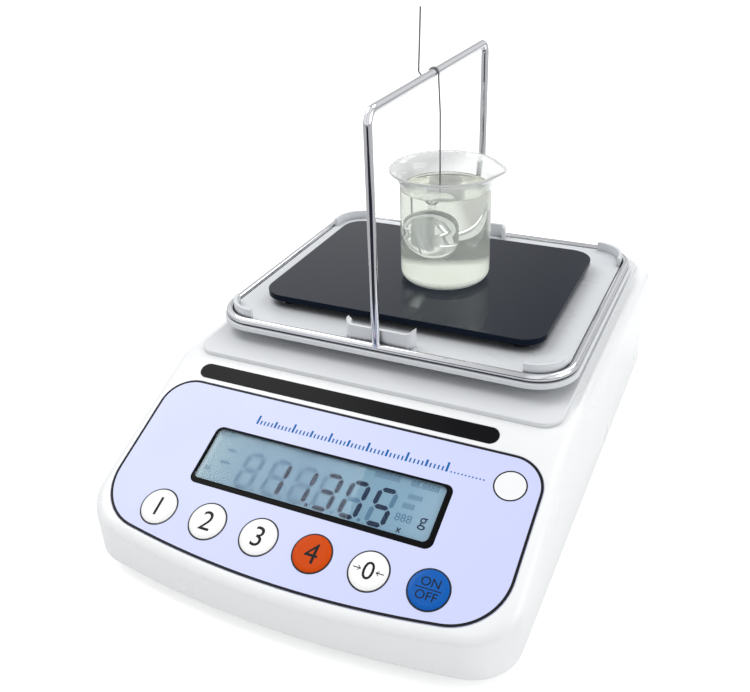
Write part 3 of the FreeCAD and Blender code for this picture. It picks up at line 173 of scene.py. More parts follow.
# Painted reflections: levels of the wall panels that metal mirrors and that light nothing, from the left of
# the room (0) to the right (1).
painted_panel_levels = ((0.30, 1.0), (0.40, 0.55), (0.50, 0.9), (0.68, 1.0), (0.80, 0.6), (0.88, 1.0))
room_direction = add_node(tree, "TexCoord").outputs["Generated"]
room_axes = add_node(tree, "SeparateXYZ", {0: room_direction}).outputs
room_across = calculated(tree, "MULTIPLY_ADD", room_axes["X"], 0.5, 0.5)
painted_room_panels = add_node(tree, "ValToRGB", {0: room_across})
painted_room_panels.color_ramp.elements[0].color = (0.9, 0.9, 0.92, 1)
painted_room_panels.color_ramp.elements[1].color = (1, 1, 1, 1)
for place, level in painted_panel_levels:
    painted_room_panels.color_ramp.elements.new(place).color = (level, level, level * 1.01, 1)
painted_room_depth = ranged(tree, room_axes["Y"], back_start, back_full, 1.0, painted_back_level)
ray = add_node(tree, "LightPath").outputs
plain_ray = calculated(tree, "MAXIMUM", ray["Is Camera Ray"], ray["Is Transmission Ray"])
room_lit = add_node(tree, "Background", {"Color": (1, 1, 1, 1), "Strength": room_light}).outputs[0]
room_seen = add_node(tree, "Background", {"Color": (1, 1, 1, 1), "Strength": 1.0}).outputs[0]
room_mirrored = add_node(tree, "Background", {"Color": painted_room_panels.outputs["Color"],
                                              "Strength": painted_room_depth}).outputs[0]
# Glossy rays see the painted panels and the darker back; the light that falls on things is even.
room_unseen = mixed(tree, ray["Is Glossy Ray"], room_lit, room_mirrored)
room = mixed(tree, plain_ray, room_unseen, room_seen)
world_output = tree.nodes.new("ShaderNodeOutputWorld")
tree.links.new(room, world_output.inputs["Surface"])


def soft_lamp(name, place, target, size, power):
    """A square soft box that faces a point on the object."""
    lamp_data = bpy.data.lights.new(name, "AREA")
    lamp_data.shape = "SQUARE"
    lamp_data.size = size
    lamp_data.energy = power
    lamp = bpy.data.objects.new(name, lamp_data)
    direction = Vector(target) - Vector(place)
    lamp.rotation_euler = direction.to_track_quat("-Z", "Y").to_euler()
    lamp.location = place
    bpy.context.scene.collection.objects.link(lamp)


soft_lamp("lamp_left", place=(-1.0, 0.1, 1.5), target=(0, 0, 0.05), size=0.9, power=11.0)
soft_lamp("lamp_back", place=(0.5, 1.2, 1.4), target=(0, 0, 0.1), size=0.8, power=6.0)
soft_lamp("lamp_right", place=(1.5, 0.1, 0.6), target=(0, 0, 0.05), size=1.0, power=6.5)

# ---------------------------------------------------------------- base and feet
# The lower casing is a plain moulding in ABS that shows only as a shadow line. Four levelling
# feet screw into brass inserts in it; each has a scalloped grip and a soft rubber pad.


def node_group(name, inputs, outputs):
    """A node group with its inputs (name, kind, value) and outputs (name, kind)."""
    group = bpy.data.node_groups.new(name, "ShaderNodeTree")
    for socket_name, kind, value in inputs:
        socket = group.interface.new_socket(socket_name, in_out="INPUT", socket_type="NodeSocket" + kind)
        socket.default_value = value
    for socket_name, kind in outputs:
        group.interface.new_socket(socket_name, in_out="OUTPUT", socket_type="NodeSocket" + kind)
    inlet = group.nodes.new("NodeGroupInput").outputs
    outlet = group.nodes.new("NodeGroupOutput").inputs
    return group, inlet, outlet


def moulded_skin_group():
    """Fine spark-eroded grain of a moulded part, with slow patches of more and less gloss."""
    patch_low = 0.3
    patch_high = 0.7
    group, inlet, outlet = node_group(
        "moulded_skin",
        (("Grain Scale", "Float", 2200.0), ("Patch Scale", "Float", 18.0),
         ("Roughness Low", "Float", 0.35), ("Roughness High", "Float", 0.5),
         ("Colour", "Color", (0.8, 0.8, 0.8, 1)), ("Shade", "Float", 0.03)),
        (("Colour", "Color"), ("Roughness", "Float"), ("Height", "Float")))
    place = add_node(group, "TexCoord").outputs["Object"]
    grain = add_node(group, "TexNoise", {"Vector": place, "Scale": inlet["Grain Scale"], "Detail": 2.0})
    patches = add_node(group, "TexNoise", {"Vector": place, "Scale": inlet["Patch Scale"],
                                           "Detail": 3.0}).outputs["Fac"]
    gloss = ranged(group, patches, patch_low, patch_high, inlet["Roughness Low"], inlet["Roughness High"])
    darker = calculated(group, "MULTIPLY", patches, inlet["Shade"])
    tint = add_node(group, "Mix", {"Factor": darker, "A": inlet["Colour"], "B": (0.0, 0.0, 0.0, 1)},
                    data_type="RGBA", blend_type="MULTIPLY")
    group.links.new(tint.outputs["Result"], outlet["Colour"])
    group.links.new(gloss, outlet["Roughness"])
    group.links.new(grain.outputs["Fac"], outlet["Height"])
    return group


def soft_edge_group():
    """The rounded look of a moulded or deburred edge, as a shading normal."""
    group, inlet, outlet = node_group("soft_edge", (("Radius", "Float", 0.0004),), (("Normal", "Vector"),))
    bevel = add_node(group, "Bevel", {"Radius": inlet["Radius"]}, samples=4)
    group.links.new(bevel.outputs["Normal"], outlet["Normal"])
    return group


def corner_shade_group():
    """Darkens a colour in narrow gaps and under things, where little light gets in."""
    shade_reach = 0.009
    shade_start = 0.62
    shade_full = 0.22
    shade_colour = (0.03, 0.03, 0.05, 1)
    group, inlet, outlet = node_group(
        "corner_shade",
        (("Colour", "Color", (0.8, 0.8, 0.8, 1)), ("Strength", "Float", 0.0)),
        (("Colour", "Color"),))
    openness = add_node(group, "AmbientOcclusion", {"Distance": shade_reach}, samples=8).outputs["AO"]
    covered = ranged(group, openness, shade_start, shade_full, interpolation_type="SMOOTHSTEP")
    share = calculated(group, "MULTIPLY", covered, inlet["Strength"])
    darkened = add_node(group, "Mix", {"Factor": share, "A": inlet["Colour"], "B": shade_colour},
                        data_type="RGBA", blend_type="MULTIPLY")
    group.links.new(darkened.outputs["Result"], outlet["Colour"])
    return group


moulded_skin = moulded_skin_group()
soft_edge = soft_edge_group()
corner_shade = corner_shade_group()


def moulded_material(name, colour, roughness, grain_scale=2200.0, grain_depth=0.02, shade=0.03,
                     specular=0.5, edge_radius=0.0004, painted_corner_shade=0.0):
    """A moulded plastic or rubber: colour, a range of gloss, fine grain and soft edges, with painted shade
    in gaps and under things where asked.
    """
    material, tree, output = new_material(name)
    skin = add_node(tree, "Group", {"Grain Scale": grain_scale, "Roughness Low": roughness[0],
                                    "Roughness High": roughness[1], "Colour": (*colour, 1),
                                    "Shade": shade}, node_tree=moulded_skin).outputs
    edge = add_node(tree, "Group", {"Radius": edge_radius}, node_tree=soft_edge).outputs
    bump = add_node(tree, "Bump", {"Strength": grain_depth, "Distance": 0.001,
                                   "Height": skin["Height"], "Normal": edge["Normal"]})
    skin_colour = skin["Colour"]
    if painted_corner_shade:
        skin_colour = add_node(tree, "Group", {"Colour": skin_colour, "Strength": painted_corner_shade},
                               node_tree=corner_shade).outputs["Colour"]
    shader = add_node(tree, "BsdfPrincipled", {
        "Base Color": skin_colour, "Roughness": skin["Roughness"],
        "Normal": bump.outputs["Normal"], "Specular IOR Level": specular})
    tree.links.new(shader.outputs[0], output.inputs["Surface"])
    return material


def finish_node(name, material):
    """Gives a CAD node its material and smooth shading over its round faces."""
    node = nodes[name]
    node.data.materials.clear()
    node.data.materials.append(material)
    for polygon in node.data.polygons:
        polygon.use_smooth = True
    seams = node.modifiers.new("seams", "WELD")
    seams.merge_threshold = 0.000002
    creases = node.modifiers.new("creases", "EDGE_SPLIT")
    creases.split_angle = math.radians(32)
    flats = node.modifiers.new("flats", "WEIGHTED_NORMAL")
    flats.mode = "FACE_AREA"
    flats.weight = 100


base_material = moulded_material("base_plastic", (0.8, 0.81, 0.81), (0.4, 0.55), grain_depth=0.05)
foot_material = moulded_material("foot_plastic", (0.035, 0.035, 0.038), (0.35, 0.5), grain_depth=0.04)
rubber_material = moulded_material("soft_rubber", (0.03, 0.03, 0.03), (0.65, 0.85), grain_depth=0.1,
                                   specular=0.3)
finish_node("base_shell", base_material)
for corner in ("front_left", "front_right", "back_left", "back_right"):
    finish_node("foot_" + corner, foot_material)
    finish_node("foot_pad_" + corner, rubber_material)

# ---------------------------------------------------------------- top cover
# One large moulding in white gloss ABS. It carries the sloping key panel at the front and the
# flat deck behind it, and drops over the base, held by four screws from below.

cover_material = moulded_material("casing_white", (0.83, 0.845, 0.85), (0.24, 0.36), grain_depth=0.012,
                                  shade=0.02, edge_radius=0.0006)
finish_node("top_cover", cover_material)

# ---------------------------------------------------------------- panel film and its printing
# The keys look out through a pale lavender polyester film, screen printed from behind and let
# into a shallow recess. It carries no words, only a border, a plain scale and a pale round window.

key_axis = Vector(next(joint["axis"] for joint in frame["joints"] if joint["name"] == "key_1_press"))
panel_normal = -key_axis.normalized()
panel_up = Vector((0.0, panel_normal.z, -panel_normal.y))
film_corners = [point.co for point in nodes["control_overlay"].data.vertices]
film_level = max(point.dot(panel_normal) for point in film_corners)
film_head = max(point.dot(panel_up) for point in film_corners)


def panel_point(x, s, h):
    """A point on the slope: s is the way down from the film's upper edge, h the height above it."""
    return Vector((x, 0, 0)) + panel_up * (film_head - s) + panel_normal * (film_level + h)


def panel_extent(name):
    """The least and the greatest x, s and h of a CAD node on the sloping panel."""
    corners = [point.co for point in nodes[name].data.vertices]
    xs = [point.x for point in corners]
    downs = [film_head - point.dot(panel_up) for point in corners]
    heights = [point.dot(panel_normal) - film_level for point in corners]
    return (min(xs), max(xs)), (min(downs), max(downs)), (min(heights), max(heights))


def round_loop(x, s, radius, count=72):
    """A circle on the panel."""
    turns = [2 * math.pi * step / count for step in range(count)]
    return [(x + radius * math.cos(turn), s + radius * math.sin(turn)) for turn in turns]


def box_loop(first_x, first_s, second_x, second_s):
    """A rectangle on the panel, from two opposite corners."""
    return [(first_x, first_s), (second_x, first_s), (second_x, second_s), (first_x, second_s)]


def print_blocks(name, loops, low, high):
    """Flat shapes on the panel, each a convex outline with a little thickness, as one piece."""
    points = []
    faces = []
    for loop in loops:
        first = len(points)
        count = len(loop)
        points += [panel_point(x, s, low) for x, s in loop] + [panel_point(x, s, high) for x, s in loop]
        faces.append(tuple(range(first, first + count)))
        faces.append(tuple(range(first + 2 * count - 1, first + count - 1, -1)))
        for step in range(count):
            after = (step + 1) % count
            faces.append((first + step, first + after, first + count + after, first + count + step))
    return mesh_object(name, points, faces, smooth=False)


def print_rings(name, pairs, low, high):
    """Closed lines on the panel, each between an outer and an inner outline with equal corners."""
    points = []
    faces = []
    for outer, inner in pairs:
        first = len(points)
        count = len(outer)
        for loop, height in ((outer, low), (outer, high), (inner, high), (inner, low)):
            points += [panel_point(x, s, height) for x, s in loop]
        for side in range(4):
            beyond = (side + 1) % 4
            for step in range(count):
                after = (step + 1) % count
                faces.append((first + side * count + step, first + side * count + after,
                              first + beyond * count + after, first + beyond * count + step))
    return mesh_object(name, points, faces, smooth=False)


def convex_outline(points):
    """The outline of a convex sheet, from its scattered corners."""
    def half_outline(ordered):
        kept = []
        for point in ordered:
            while len(kept) > 1 and ((kept[-1][0] - kept[-2][0]) * (point[1] - kept[-2][1])
                                     <= (kept[-1][1] - kept[-2][1]) * (point[0] - kept[-2][0])):
                kept.pop()
            kept.append(point)
        return kept[:-1]
    ordered = sorted(set(points))
    return half_outline(ordered) + half_outline(ordered[::-1])


def inset_outline(loop, distance):
    """The outline moved inwards everywhere by the same distance."""
    sharp_limit = 0.3
    moved = []
    for before, here, after in zip(loop[-1:] + loop[:-1], loop, loop[1:] + loop[:1]):
        along_before = Vector((here[0] - before[0], here[1] - before[1])).normalized()
        along_after = Vector((after[0] - here[0], after[1] - here[1])).normalized()
        inwards = Vector((-along_before.y - along_after.y, along_before.x + along_after.x)).normalized()
        reach = distance / max(sharp_limit, inwards.dot(Vector((-along_before.y, along_before.x))))
        moved.append((here[0] + inwards.x * reach, here[1] + inwards.y * reach))
    return moved


def finish_piece(piece, material, body):
    """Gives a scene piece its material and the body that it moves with."""
    piece.data.materials.clear()
    piece.data.materials.append(material)
    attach(piece, body)


film_material = moulded_material("overlay_film", (0.585, 0.625, 0.90), (0.3, 0.4), grain_scale=6000.0,
                                 grain_depth=0.015, shade=0.01, specular=0.4, edge_radius=0.0001)
black_ink = moulded_material("black_ink", (0.006, 0.006, 0.008), (0.4, 0.5), specular=0.15,
                             edge_radius=0.0)
blue_ink = moulded_material("blue_ink", (0.0, 0.12, 0.40), (0.4, 0.5), specular=0.15, edge_radius=0.0)
white_ink = moulded_material("white_ink", (0.86, 0.87, 0.88), (0.3, 0.4), edge_radius=0.0)
finish_node("control_overlay", film_material)
print_low = -0.00002
print_high = 0.00003

film_outline = convex_outline([(round(point.x, 6), round(film_head - point.dot(panel_up), 6))
                               for point in film_corners])
border_outer = 0.00005
border_inner = 0.0013
border = print_rings("film_border", [(inset_outline(film_outline, border_outer),
                                      inset_outline(film_outline, border_inner))], print_low, print_high)
finish_piece(border, black_ink, "housing")

level_x = 0.0885
level_s = 0.0161
level_radius = 0.0071
level_line = 0.0007
level_loop = round_loop(level_x, level_s, level_radius)
level_disc = print_blocks("window_disc", [level_loop], print_low, print_high)
finish_piece(level_disc, white_ink, "housing")
level_outer = round_loop(level_x, level_s, level_radius + level_line)
level_ring = print_rings("window_ring", [(level_outer, level_loop)], print_low, print_high + 0.00001)
finish_piece(level_ring, black_ink, "housing")

scale_left = -0.044
scale_right = 0.058
scale_foot_s = 0.0169
scale_steps = 50
# Every tenth, every fifth and each other mark: its height and half its width.
tenth_mark = (0.0050, 0.00056)
fifth_mark = (0.0037, 0.00056)
plain_mark = (0.0024, 0.00038)
scale_marks = []
for step in range(scale_steps + 1):
    mark_x = scale_left + (scale_right - scale_left) * step / scale_steps
    mark_height, mark_half = fifth_mark if step % 5 == 0 else plain_mark
    if step % 10 == 0:
        mark_height, mark_half = tenth_mark
    scale_marks.append(box_loop(mark_x - mark_half, scale_foot_s,
                                mark_x + mark_half, scale_foot_s - mark_height))
dot_count = 10
dot_start = scale_right + 0.0024
dot_spacing = 0.00175
dot_radius = 0.00042
dot_s = scale_foot_s - 0.0004
for step in range(dot_count):
    scale_marks.append(round_loop(dot_start + dot_spacing * step, dot_s, dot_radius, 12))
scale_print = print_blocks("panel_scale", scale_marks, print_low, print_high)
finish_piece(scale_print, blue_ink, "housing")

# ---------------------------------------------------------------- label strip
# A narrow black polyester label with round ends, stuck in its own recess above the film.
# It is kept bare.

strip_material = moulded_material("strip_black", (0.004, 0.004, 0.005), (0.22, 0.32),
                                  grain_depth=0.01, shade=0.0, specular=0.06, edge_radius=0.0001)
finish_node("label_strip", strip_material)

# ---------------------------------------------------------------- keys
# Six round caps in white, orange and blue ABS stand a little proud of the film. Each has a
# dark ring printed round its hole and a plain mark printed on its top.

panel_turn = Matrix((Vector((1, 0, 0)), panel_up, panel_normal)).transposed().to_4x4()
print_thickness = 0.00003


def lettering(name, text, size, x, s, h):
    """Printed characters on the panel, centred on x and s, as a flat mesh."""
    curve = bpy.data.curves.new(name, "FONT")
    curve.body = text
    curve.size = size
    curve.align_x = "CENTER"
    curve.align_y = "CENTER"
    curve.extrude = print_thickness
    curve.resolution_u = 4
    holder = bpy.data.objects.new(name + "_curve", curve)
    bpy.context.scene.collection.objects.link(holder)
    bpy.context.view_layer.update()
    mesh = bpy.data.meshes.new_from_object(holder.evaluated_get(bpy.context.evaluated_depsgraph_get()))
    bpy.data.objects.remove(holder)
    mesh.name = name
    xs = [point.co.x for point in mesh.vertices]
    ys = [point.co.y for point in mesh.vertices]
    mesh.transform(Matrix.Translation((-(min(xs) + max(xs)) / 2, -(min(ys) + max(ys)) / 2, 0)))
    mesh.transform(panel_turn)
    mesh.transform(Matrix.Translation(panel_point(x, s, h)))
    piece = bpy.data.objects.new(name, mesh)
    bpy.context.scene.collection.objects.link(piece)
    return piece


key_white = moulded_material("key_white", (0.88, 0.885, 0.88), (0.3, 0.42), grain_depth=0.015,
                             shade=0.01)
key_orange = moulded_material("key_orange", (0.60, 0.066, 0.002), (0.3, 0.42), grain_depth=0.015,
                              shade=0.05, specular=0.08)
key_blue = moulded_material("key_blue", (0.0, 0.10, 0.43), (0.3, 0.42), grain_depth=0.015,
                            shade=0.05, specular=0.15)
key_ring_material = moulded_material("key_ring_ink", (0.02, 0.02, 0.025), (0.4, 0.5), specular=0.2,
                                     edge_radius=0.0)
key_finishes = {"key_1": key_white, "key_2": key_white, "key_3": key_white, "key_4": key_orange,
                "key_zero": key_white, "key_power": key_blue}
figure_size = 0.0140
zero_size = 0.0120
word_size = 0.0058
key_marks = {"key_1": ("1", figure_size), "key_2": ("2", figure_size), "key_3": ("3", figure_size),
             "key_4": ("4", figure_size), "key_zero": ("0", zero_size)}
key_ring_outer = 0.0098
key_ring_inner = 0.00915
arrow_tip = 0.0036
arrow_length = 0.0038
arrow_half = 0.00022
# The barb of an arrow: how far back its near and far corners lie, and how far out it reaches.
barb_root = 0.0005
barb_near = 0.0012
barb_far = 0.0017
barb_out = 0.0011
word_offset = 0.0031
rule_half_length = 0.006
rule_half = 0.0002
key_rings = []
for key_name, key_material in key_finishes.items():
    finish_node(key_name, key_material)
    key_x_range, key_s_range, key_h_range = panel_extent(key_name)
    key_x = sum(key_x_range) / 2
    key_s = sum(key_s_range) / 2
    key_level = key_h_range[1]
    key_rings.append((round_loop(key_x, key_s, key_ring_outer), round_loop(key_x, key_s, key_ring_inner)))
    if key_name in key_marks:
        mark = lettering(key_name + "_mark", *key_marks[key_name], key_x, key_s, key_level)
        finish_piece(mark, black_ink, key_name)
    if key_name == "key_zero":
        arrow_loops = []
        for side in (-1, 1):
            tip = key_x + side * arrow_tip
            arrow_loops.append(box_loop(tip, key_s - arrow_half,
                                        tip + side * arrow_length, key_s + arrow_half))
            for lift in (-barb_out, barb_out):
                arrow_loops.append([(tip, key_s), (tip + side * barb_root, key_s),
                                    (tip + side * barb_far, key_s + lift),
                                    (tip + side * barb_near, key_s + lift)])
        arrows = print_blocks("key_zero_arrows", arrow_loops, key_level + print_low, key_level + print_high)
        finish_piece(arrows, black_ink, key_name)
    if key_name == "key_power":
        for word, offset in (("ON", -word_offset), ("OFF", word_offset)):
            mark = lettering("key_power_" + word.lower(), word, word_size, key_x, key_s + offset, key_level)
            finish_piece(mark, black_ink, key_name)
        bar = box_loop(key_x - rule_half_length, key_s - rule_half,
                       key_x + rule_half_length, key_s + rule_half)
        rule = print_blocks("key_power_rule", [bar], key_level + print_low, key_level + print_high)
        finish_piece(rule, black_ink, key_name)
ring_print = print_rings("key_ring_print", key_rings, print_low, print_high)
finish_piece(ring_print, key_ring_material, "housing")

# ---------------------------------------------------------------- display
# A liquid crystal display over a backlight sheet, in a black surround and behind a clear window.
# The segments that are on show dark, and the others as faint grey shapes.


def glass_material(name, colour, ior, roughness, specular=0.5, haze=0.0):
    """Clear glass, acrylic or liquid that lets light through to what is behind it."""
    material, tree, output = new_material(name)
    clear = add_node(tree, "BsdfPrincipled", {
        "Base Color": (*colour, 1), "Metallic": 0.0, "Transmission Weight": 1.0, "IOR": ior,
        "Roughness": roughness, "Specular IOR Level": specular}).outputs[0]
    if haze:
        scatter = add_node(tree, "BsdfDiffuse", {"Color": (*colour, 1)}).outputs[0]
        clear = add_node(tree, "MixShader", {0: haze, 1: clear, 2: scatter}, name="haze").outputs[0]
    ray = add_node(tree, "LightPath").outputs
    bare_ray = calculated(tree, "MAXIMUM", ray["Is Shadow Ray"], ray["Is Diffuse Ray"])
    see_through_colour = (*[0.5 + 0.5 * part for part in colour], 1)
    see_through = add_node(tree, "BsdfTransparent", {"Color": see_through_colour}).outputs[0]
    tree.links.new(mixed(tree, bare_ray, clear, see_through), output.inputs["Surface"])
    return material


frame_black = moulded_material("display_black", (0.0015, 0.0015, 0.002), (0.3, 0.4), grain_depth=0.01,
                               shade=0.0, specular=0.05)
window_clear = glass_material("display_clear", (0.97, 0.98, 0.99), 1.2, 0.0, specular=0.1)
lcd_material = moulded_material("lcd_glass", (0.17, 0.305, 0.41), (0.3, 0.38), grain_scale=9000.0,
                                grain_depth=0.004, shade=0.2, specular=0.08, edge_radius=0.0)
lcd_ink = moulded_material("lcd_lit_segment", (0.010, 0.024, 0.058), (0.35, 0.45), specular=0.05,
                           edge_radius=0.0)
lcd_ghost_ink = moulded_material("lcd_unlit_segment", (0.09, 0.188, 0.288), (0.35, 0.45), specular=0.05,
                                 edge_radius=0.0)

# The panel is palest at its left end and its lower right corner, where light leaks in behind it.
# Its tones are given from left (0) to right (1).
panel_tones = ((0.035, (0.24, 0.37, 0.44)), (0.14, (0.18, 0.30, 0.395)), (0.45, (0.152, 0.272, 0.382)),
               (0.65, (0.188, 0.327, 0.428)), (0.85, (0.22, 0.365, 0.48)))
corner_tone = (0.62, 0.74, 0.82, 1)
corner_reach = 0.07
corner_core = 0.02
corner_strength = 0.9
tree = lcd_material.node_tree
panel_place = add_node(tree, "TexCoord").outputs["Generated"]
panel_axes = add_node(tree, "SeparateXYZ", {0: panel_place}).outputs
panel_tone = add_node(tree, "ValToRGB", {"Fac": panel_axes["X"]})
panel_tone.color_ramp.elements[0].color = (0.55, 0.68, 0.75, 1)
panel_tone.color_ramp.elements[1].color = (0.31, 0.46, 0.58, 1)
for place, tone in panel_tones:
    panel_tone.color_ramp.elements.new(place).color = (*tone, 1)
corner_flat = add_node(tree, "VectorMath", {0: panel_place, 1: (1.0, 0.35, 0.0)}, operation="MULTIPLY")
corner_way = add_node(tree, "VectorMath", {0: corner_flat.outputs["Vector"], 1: (1.0, 0.0, 0.0)},
                      operation="DISTANCE")
corner_share = ranged(tree, corner_way.outputs["Value"], corner_reach, corner_core, 0.0, corner_strength)
panel_mix = add_node(tree, "Mix", {"Factor": corner_share, "A": panel_tone.outputs["Color"],
                                   "B": corner_tone}, data_type="RGBA")
tree.links.new(panel_mix.outputs["Result"], tree.nodes["Principled BSDF"].inputs["Base Color"])
finish_node("display_frame", frame_black)
finish_node("display_window", window_clear)
finish_node("lcd_panel", lcd_material)

lcd_level = panel_extent("lcd_panel")[2][1]
lcd_lit_high = lcd_level + 0.00004
lcd_faint_high = lcd_level + 0.00002
digit_height = 0.0179
digit_width = 0.0080
digit_head_s = 0.0330
digit_rights = (-0.0311, -0.0161, -0.0017, 0.0116, 0.0256, 0.0396)
digit_lean = 0.06
digit_text = " 11305"
point_place = 2
point_gap = 0.0016
point_radius = 0.0009
segment_width = 0.0024
segment_gap = 0.2
segment_ends = {"top": ((0, 0), (1, 0)), "top_right": ((1, 0), (1, 0.5)), "low_right": ((1, 0.5), (1, 1)),
                "foot": ((0, 1), (1, 1)), "low_left": ((0, 0.5), (0, 1)), "top_left": ((0, 0), (0, 0.5)),
                "middle": ((0, 0.5), (1, 0.5))}
digit_segments = {"1": ("top_right", "low_right"),
                  "3": ("top", "top_right", "middle", "low_right", "foot"),
                  "0": ("top", "top_right", "low_right", "foot", "low_left", "top_left"),
                  "5": ("top", "top_left", "middle", "low_right", "foot"), " ": ()}


def bar_loop(start, end, width):
    """A bar with pointed ends between two points, a little shorter than the way between them."""
    along = (Vector(end) - Vector(start)).normalized()
    across = Vector((-along.y, along.x)) * width / 2
    start = Vector(start) + along * width * segment_gap
    end = Vector(end) - along * width * segment_gap
    inner_start = start + along * width / 2
    inner_end = end - along * width / 2
    return [tuple(start), tuple(inner_start + across), tuple(inner_end + across),
            tuple(end), tuple(inner_end - across), tuple(inner_start - across)]


def digit_loops(left_x, head_s, names):
    """The named segments of one leaning place of the display."""
    loops = []
    for segment in names:
        ends = [(left_x + across * digit_width - digit_lean * down * digit_height,
                 head_s + down * digit_height) for across, down in segment_ends[segment]]
        loops.append(bar_loop(ends[0], ends[1], segment_width))
    return loops


lit_loops = []
ghost_loops = []
for place, character in enumerate(digit_text):
    place_left = digit_rights[place] - digit_width
    lit = digit_segments[character]
    lit_loops += digit_loops(place_left, digit_head_s, lit)
    unlit = [segment for segment in segment_ends if segment not in lit]
    ghost_loops += digit_loops(place_left, digit_head_s, unlit)
    point_loop = round_loop(digit_rights[place] + point_gap, digit_head_s + digit_height, point_radius, 16)
    if place == point_place:
        lit_loops.append(point_loop)
    elif place < len(digit_text) - 1:
        ghost_loops.append(point_loop)
minus_width = 0.0016
for minus_x, minus_s, minus_half in ((-0.0500, 0.0339, 0.0030), (-0.0505, 0.0412, 0.0034)):
    ghost_loops.append(bar_loop((minus_x - minus_half, minus_s), (minus_x + minus_half, minus_s),
                                minus_width))
cross_x, cross_s = 0.0467, 0.0504
cross_half_x, cross_half_s = 0.0011, 0.0013
cross_width = 0.0006
for tilt in (-cross_half_s, cross_half_s):
    lit_loops.append(bar_loop((cross_x - cross_half_x, cross_s - tilt),
                              (cross_x + cross_half_x, cross_s + tilt), cross_width))
segments_lit = print_blocks("lcd_segments", lit_loops, lcd_level + print_low, lcd_lit_high)
finish_piece(segments_lit, lcd_ink, "housing")
segments_faint = print_blocks("lcd_faint_segments", ghost_loops, lcd_level + print_low, lcd_faint_high)
finish_piece(segments_faint, lcd_ghost_ink, "housing")
# The small unlit figures: their shapes, their size, and where they stand across and down the panel.
legends = (("8888", 0.0044, -0.0560, 0.0262), ("8", 0.0044, -0.0350, 0.0262),
           ("8888", 0.0036, -0.0100, 0.0262), ("888888", 0.0044, 0.0320, 0.0262),
           ("88.8888", 0.0044, 0.0510, 0.0262), ("8888", 0.0036, 0.0485, 0.0330),
           ("888", 0.0040, 0.0470, 0.0380), ("888", 0.0056, 0.0468, 0.0442),
           ("88", 0.0040, -0.0580, 0.0462))
for index, legend_line in enumerate(legends):
    legend = lettering("lcd_legend_%d" % (index + 1), *legend_line, lcd_level)
    finish_piece(legend, lcd_ghost_ink, "housing")
unit_mark = lettering("lcd_unit", "g", 0.0090, 0.0562, 0.0445, lcd_level)
finish_piece(unit_mark, lcd_ink, "housing")

# ---------------------------------------------------------------- deck plate
# A flat plate moulded in light grey ABS. It lies on the top of the casing, under the pan, and the
# platform's four legs stand on it.

# Its colour carries painted shade: darker in narrow gaps and where the pan's skirt hangs over it.
deck_material = moulded_material("deck_grey", (0.70, 0.715, 0.735), (0.32, 0.45), grain_depth=0.03,
                                 shade=0.04, painted_corner_shade=0.97)
finish_node("deck_plate", deck_material)

# ---------------------------------------------------------------- weighing pan
# A shallow tray moulded in light grey plastic. Its raised corners and two clips hold the wire
# frame, which lies on a ledge round the tray.

# Its colour carries painted shade: darker in narrow gaps, by the lips and clips, and under the platform.
pan_material = moulded_material("pan_grey", (0.66, 0.68, 0.705), (0.25, 0.38), grain_depth=0.02, shade=0.05,
                                painted_corner_shade=0.88)
finish_node("pan", pan_material)

# ---------------------------------------------------------------- wire frame and gantry
# Two shapes bent from drawn steel rod and chromium plated: a closed loop round the pan, and a
# gantry whose two posts are welded to it.


def metal_material(name, colour, roughness, grain_scale=900.0, grain_depth=0.01, edge_radius=0.0002):
    """A plated, turned or cast metal with slow changes of gloss and fine marks."""
    material = moulded_material(name, colour, roughness, grain_scale, grain_depth, shade=0.02,
                                edge_radius=edge_radius)
    material.node_tree.nodes["Principled BSDF"].inputs["Metallic"].default_value = 1.0
    return material


chrome = metal_material("chrome_rod", (0.81, 0.82, 0.845), (0.04, 0.09), grain_depth=0.003)
finish_node("frame_loop", chrome)
finish_node("frame_gantry", chrome)

# ---------------------------------------------------------------- platform
# A sheet of black acrylic with polished faces, on four legs that pass through the pan and
# stand on the deck, so that it bears no weight on the pan.

# The even gloss stands on the shader's own socket, under the gloss linked to it. The even gloss is what an
# export keeps. In the scene the flat top mirrors the room more than the edges and the underside do, by how
# far a face leans upwards.
even_gloss = 0.37
edge_gloss = 0.03
top_gloss = 0.33
edge_lean = 0.6
top_lean = 0.95
platform_material = moulded_material("platform_black", (0.006, 0.010, 0.019), (0.10, 0.16),
                                     grain_depth=0.004, shade=0.0, specular=even_gloss)
tree = platform_material.node_tree
facing = add_node(tree, "NewGeometry").outputs["Normal"]
upward = add_node(tree, "SeparateXYZ", {0: facing}).outputs["Z"]
face_gloss = ranged(tree, upward, edge_lean, top_lean, edge_gloss, top_gloss)
tree.links.new(face_gloss, tree.nodes["Principled BSDF"].inputs["Specular IOR Level"])
leg_material = moulded_material("platform_leg", (0.03, 0.03, 0.032), (0.3, 0.4))
finish_node("platform_plate", platform_material)
finish_node("platform_legs", leg_material)
finish_node("platform_pads", rubber_material)

# ---------------------------------------------------------------- beaker
# A low beaker in borosilicate glass: thin blown wall, thick round foot, turned-out rim with a
# pouring lip pulled to the right.

join_distance = 1e-7


def spun(name, profile, centre, count, bend=None):
    """A profile of (radius, height) points turned about an upright axis."""
    points = []
    faces = []
    for radius, height in profile:
        for step in range(count):
            turn = 2 * math.pi * step / count
            r, z = bend(radius, height, turn) if bend else (radius, height)
            points.append((centre[0] + r * math.cos(turn), centre[1] + r * math.sin(turn), z))
    for row in range(len(profile) - 1):
        for step in range(count):
            after = (step + 1) % count
            faces.append((row * count + step, row * count + after,
                          (row + 1) * count + after, (row + 1) * count + step))
    piece = mesh_object(name, points, faces)
    joined = bmesh.new()
    joined.from_mesh(piece.data)
    bmesh.ops.remove_doubles(joined, verts=joined.verts, dist=join_distance)
    bmesh.ops.recalc_face_normals(joined, faces=joined.faces)
    joined.to_mesh(piece.data)
    joined.free()
    return piece


